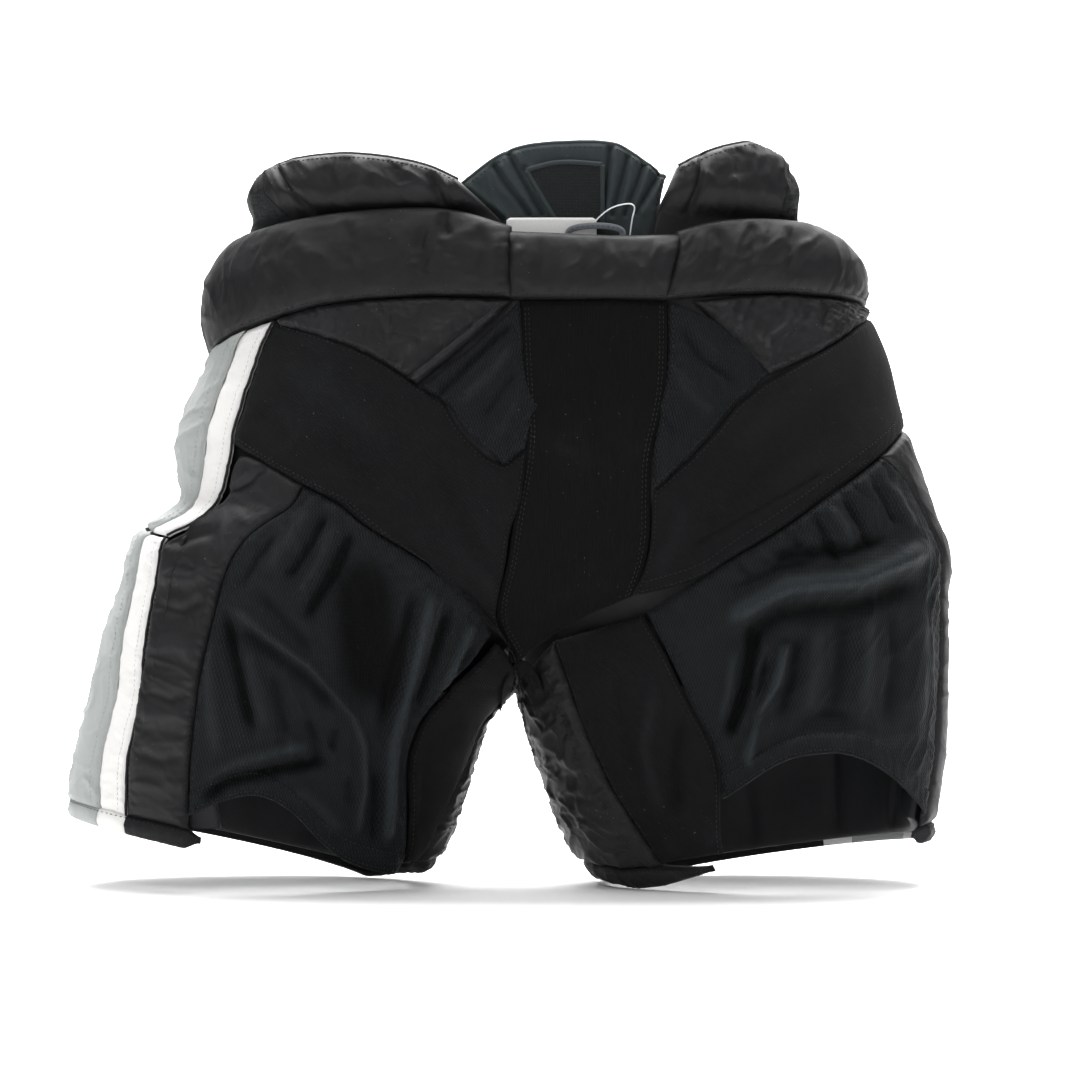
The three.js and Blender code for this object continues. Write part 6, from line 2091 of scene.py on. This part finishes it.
@dataclass
class ShopTag(Assembly):
    """The woven loop at the waist and the blank card that hangs on it."""

    title: str = "shop_tag"
    card_width: float = 74.0
    card_height: float = 62.0
    corner: float = 3.0
    level: float = 545.0
    route: tuple[tuple[float, float, float], ...] = (
        (74, 16.6, 549), (80, 15.4, 556), (90, 14.6, 563), (103, 14.2, 566), (108, 14.2, 563),
        (106, 14.4, 553), (104, 14.8, 538),
    )

    @property
    def back(self) -> float:
        """y of the cloth behind the tag."""
        return -float(TRUNK.depth_back.at(np.array(self.level)))

    def cord(self) -> None:
        """The loop pin's filament and its bead.

        The filament is a Catmull-Rom curve through the route: each span's ends, and slopes that are
        half the difference of the neighbours.
        """
        knots = np.array([[x, self.back + y, z] for x, y, z in self.route])
        ends = np.concatenate([2 * knots[:1] - knots[1:2], knots, 2 * knots[-1:] - knots[-2:-1]])
        at = np.linspace(0, len(knots) - 1, 31)
        i = np.minimum(at.astype(int), len(knots) - 2)
        t = (at - i)[:, None]
        p0, p1, p2, p3 = (ends[i + k] for k in range(4))
        bend, twist = 2 * p0 - 5 * p1 + 4 * p2 - p3, 3 * p1 - p0 - 3 * p2 + p3
        path = 0.5 * (2 * p1 + (p2 - p0) * t + bend * t ** 2 + twist * t ** 3)
        track = Track(path, np.tile([0.0, -1.0, 0.0], (len(path), 1)))
        loop = tube("tag_loop", track, 0.6, sides=8)
        self.put(coated(loop, Finish.CLEAR), "tag", "clip", "tag_loop")
        turn, down = np.meshgrid(np.linspace(0, 2 * np.pi, 17), np.linspace(0, np.pi, 9))
        centre = path[-1] + [0, 0, -2.0]
        wide = np.sin(down)
        shell = lambda r: centre + np.stack([
            r * wide * np.cos(turn), 0.7 * r * wide * np.sin(turn), 1.5 * r * np.cos(down)], -1)
        bead = make_mesh("tag_bead", *wall(shell(2.4), shell(1.2), np.zeros(turn.shape + (2,))))
        self.put(coated(bead, Finish.CLEAR), "tag", "clip")
        spots = [tuple(((p + TO_ROW) * MM).tolist()) for p in path]

    def card(self) -> None:
        """The card: a rounded rectangle that bows a little from side to side."""
        u, t = np.meshgrid(np.linspace(-1, 1, 38), np.linspace(-1, 1, 32))
        half_w, half_h, r = self.card_width / 2, self.card_height / 2, self.corner
        over = np.clip(np.abs(t) * half_h - (half_h - r), 0, r)
        width = half_w - r + np.sqrt(r * r - over * over)
        x, z = 40 + u * width, 555 - half_h + t * half_h
        y = self.back + 19.4 - 0.7 - 1.1 * (1 - u * u) - 0.5 * t * u + 0.9 * t
        face = np.stack([x, y, z], -1)
        card = make_mesh("swing_tag", *wall(face, face + [0, 0.7, 0], np.stack([x, z], -1) * MM))
        self.put(coated(card, Finish.CARD), "tag", "card", "swing_tag")

    def loop(self) -> None:
        """The woven hang loop: a flat band bent into an arch, with a row of blue stitches on each leg."""
        turn = np.linspace(np.pi, 0, 25)
        x = np.concatenate([[-22.5], 22.5 * np.cos(turn), [22.5]])
        z = np.concatenate([[-22.0], 8 * np.sin(turn) ** 0.6, [-22.0]])
        centre = np.stack([76 + x, np.full_like(x, self.back + 13.4), 540 + z], -1)
        track = Track(centre, np.tile([0.0, -1.0, 0.0], (len(x), 1))).even(1.5)
        _, across, out = track.frames()
        share = np.linspace(-1, 1, 7)[None, :, None]
        face = track.points[:, None] + across[:, None] * share * 2.6 + out[:, None] * 0.5 * (1 - share ** 2)
        gone = np.arange(len(track.points))[:, None] * 1.5
        uv = np.stack(np.broadcast_arrays(gone, share[..., 0] * 2.6), -1) * MM
        band = make_mesh("hang_loop", *wall(face, face - out[:, None] * 1.4, uv))
        self.put(coated(band, Finish.LABEL), WAIST, "webbing", "hang_loop")
        self.sew(WAIST, track.lifted(0.6), thread=Finish.BLUE_THREAD)

    def make(self) -> None:
        """Makes the loop, the card and the cord."""
        self.cord()
        self.card()
        self.loop()
        self.finish_rows()


# ---------------------------------------------------------------------------------------------
# Studio
# ---------------------------------------------------------------------------------------------


@dataclass
class Studio:
    """A white ground that curves up behind, soft boxes and the camera."""

    eye: tuple[float, float, float] = (0.0263, -3.2, 0.2894)
    focal: float = 127.0
    sky: float = 0.12
    reach: float = 6.0
    flat: float = 2.0
    bend: float = 1.2
    tall: float = 5.0
    boxes: tuple[tuple[tuple[float, float, float], tuple[float, float, float], float, float], ...] = (
        ((-1.1, -1.9, 2.0), (0.0, 0.0, 0.3), 0.7, 19.0), ((1.6, -1.9, 1.4), (0.0, 0.0, 0.3), 0.6, 7.5),
        ((0.1, -0.5, 2.2), (0.0, 0.0, 0.3), 0.7, 11.0), ((0.0, 1.1, 2.6), (0.0, 2.6, 0.2), 2.5, 300.0),
        ((0.0, 0.9, 2.2), (0.0, 0.2, 0.0), 3.0, 60.0),
    )

    def ground(self) -> None:
        """The ground: flat, then a quarter circle, then upright."""
        turn = np.linspace(0, np.pi / 2, 17)
        y = np.concatenate([[-self.reach], self.flat + self.bend * np.sin(turn), [self.flat + self.bend]])
        z = np.concatenate([[0.0], self.bend - self.bend * np.cos(turn), [self.tall]])
        x = np.linspace(-self.reach, self.reach, 3)
        grid = np.stack(np.broadcast_arrays(x, y[:, None], z[:, None]), -1)
        mesh = bpy.data.meshes.new("studio_floor")
        number = np.arange(len(y) * 3).reshape(len(y), 3)
        quads = np.stack([number[:-1, :-1], number[:-1, 1:], number[1:, 1:], number[1:, :-1]], -1)
        mesh.from_pydata(grid.reshape(-1, 3).tolist(), [], quads.reshape(-1, 4).tolist())
        floor = bpy.data.objects.new("studio_floor", mesh)
        bpy.context.scene.collection.objects.link(floor)
        mesh.materials.append(Finish.GROUND.material())
        mesh.polygons.foreach_set("use_smooth", np.ones(len(mesh.polygons), bool))

    def lights(self) -> None:
        """The sky and the soft boxes: three on the pants, one on the backdrop and one on the floor."""
        world = bpy.data.worlds.new("studio")
        bpy.context.scene.world = world
        world.use_nodes = True
        world.node_tree.nodes["Background"].inputs[0].default_value = (1, 1, 1, 1)
        world.node_tree.nodes["Background"].inputs[1].default_value = self.sky
        for number, (place, target, size, power) in enumerate(self.boxes):
            lamp = bpy.data.lights.new(f"soft_box_{number}", "AREA")
            lamp.shape, lamp.size, lamp.energy = "SQUARE", size, power
            made = bpy.data.objects.new(lamp.name, lamp)
            made.location = place
            made.rotation_euler = look(np.array(target) - np.array(place))
            bpy.context.scene.collection.objects.link(made)

    def camera(self) -> None:
        """A level camera behind the pants."""
        data = bpy.data.cameras.new("camera")
        data.lens, data.sensor_width = self.focal, 36.0
        made = bpy.data.objects.new("camera", data)
        made.location, made.rotation_euler = self.eye, (math.pi / 2, 0, 0)
        bpy.context.scene.collection.objects.link(made)
        bpy.context.scene.camera = made
        bpy.context.scene.view_settings.view_transform = "Standard"

    def make(self) -> None:
        """Makes the studio."""
        self.camera()
        self.ground()
        self.lights()


def look(aim: Array) -> tuple[float, float, float]:
    """The turn that points a lamp's own -Z along a direction."""
    x, y, z = (aim / np.linalg.norm(aim)).tolist()
    return (math.acos(-z), 0.0, math.atan2(y, x) - math.pi / 2)


def main() -> None:
    """Makes the studio and the pants."""
    logging.basicConfig(level=logging.INFO, format="%(name)s %(message)s")
    Studio().make()
    ShopTag().make()
    Waistband().make()
    Seat().make()
    for side in Side:
        Stripes(title=f"stripes_{side.word}", side=side).make()
        HipGuard(side=side).make()
        Lining(side=side).make()
    Front().make()
    for side in Side:
        Leg(side=side).make()
    BackGuard().make()


if __name__ == "__main__":
    main()
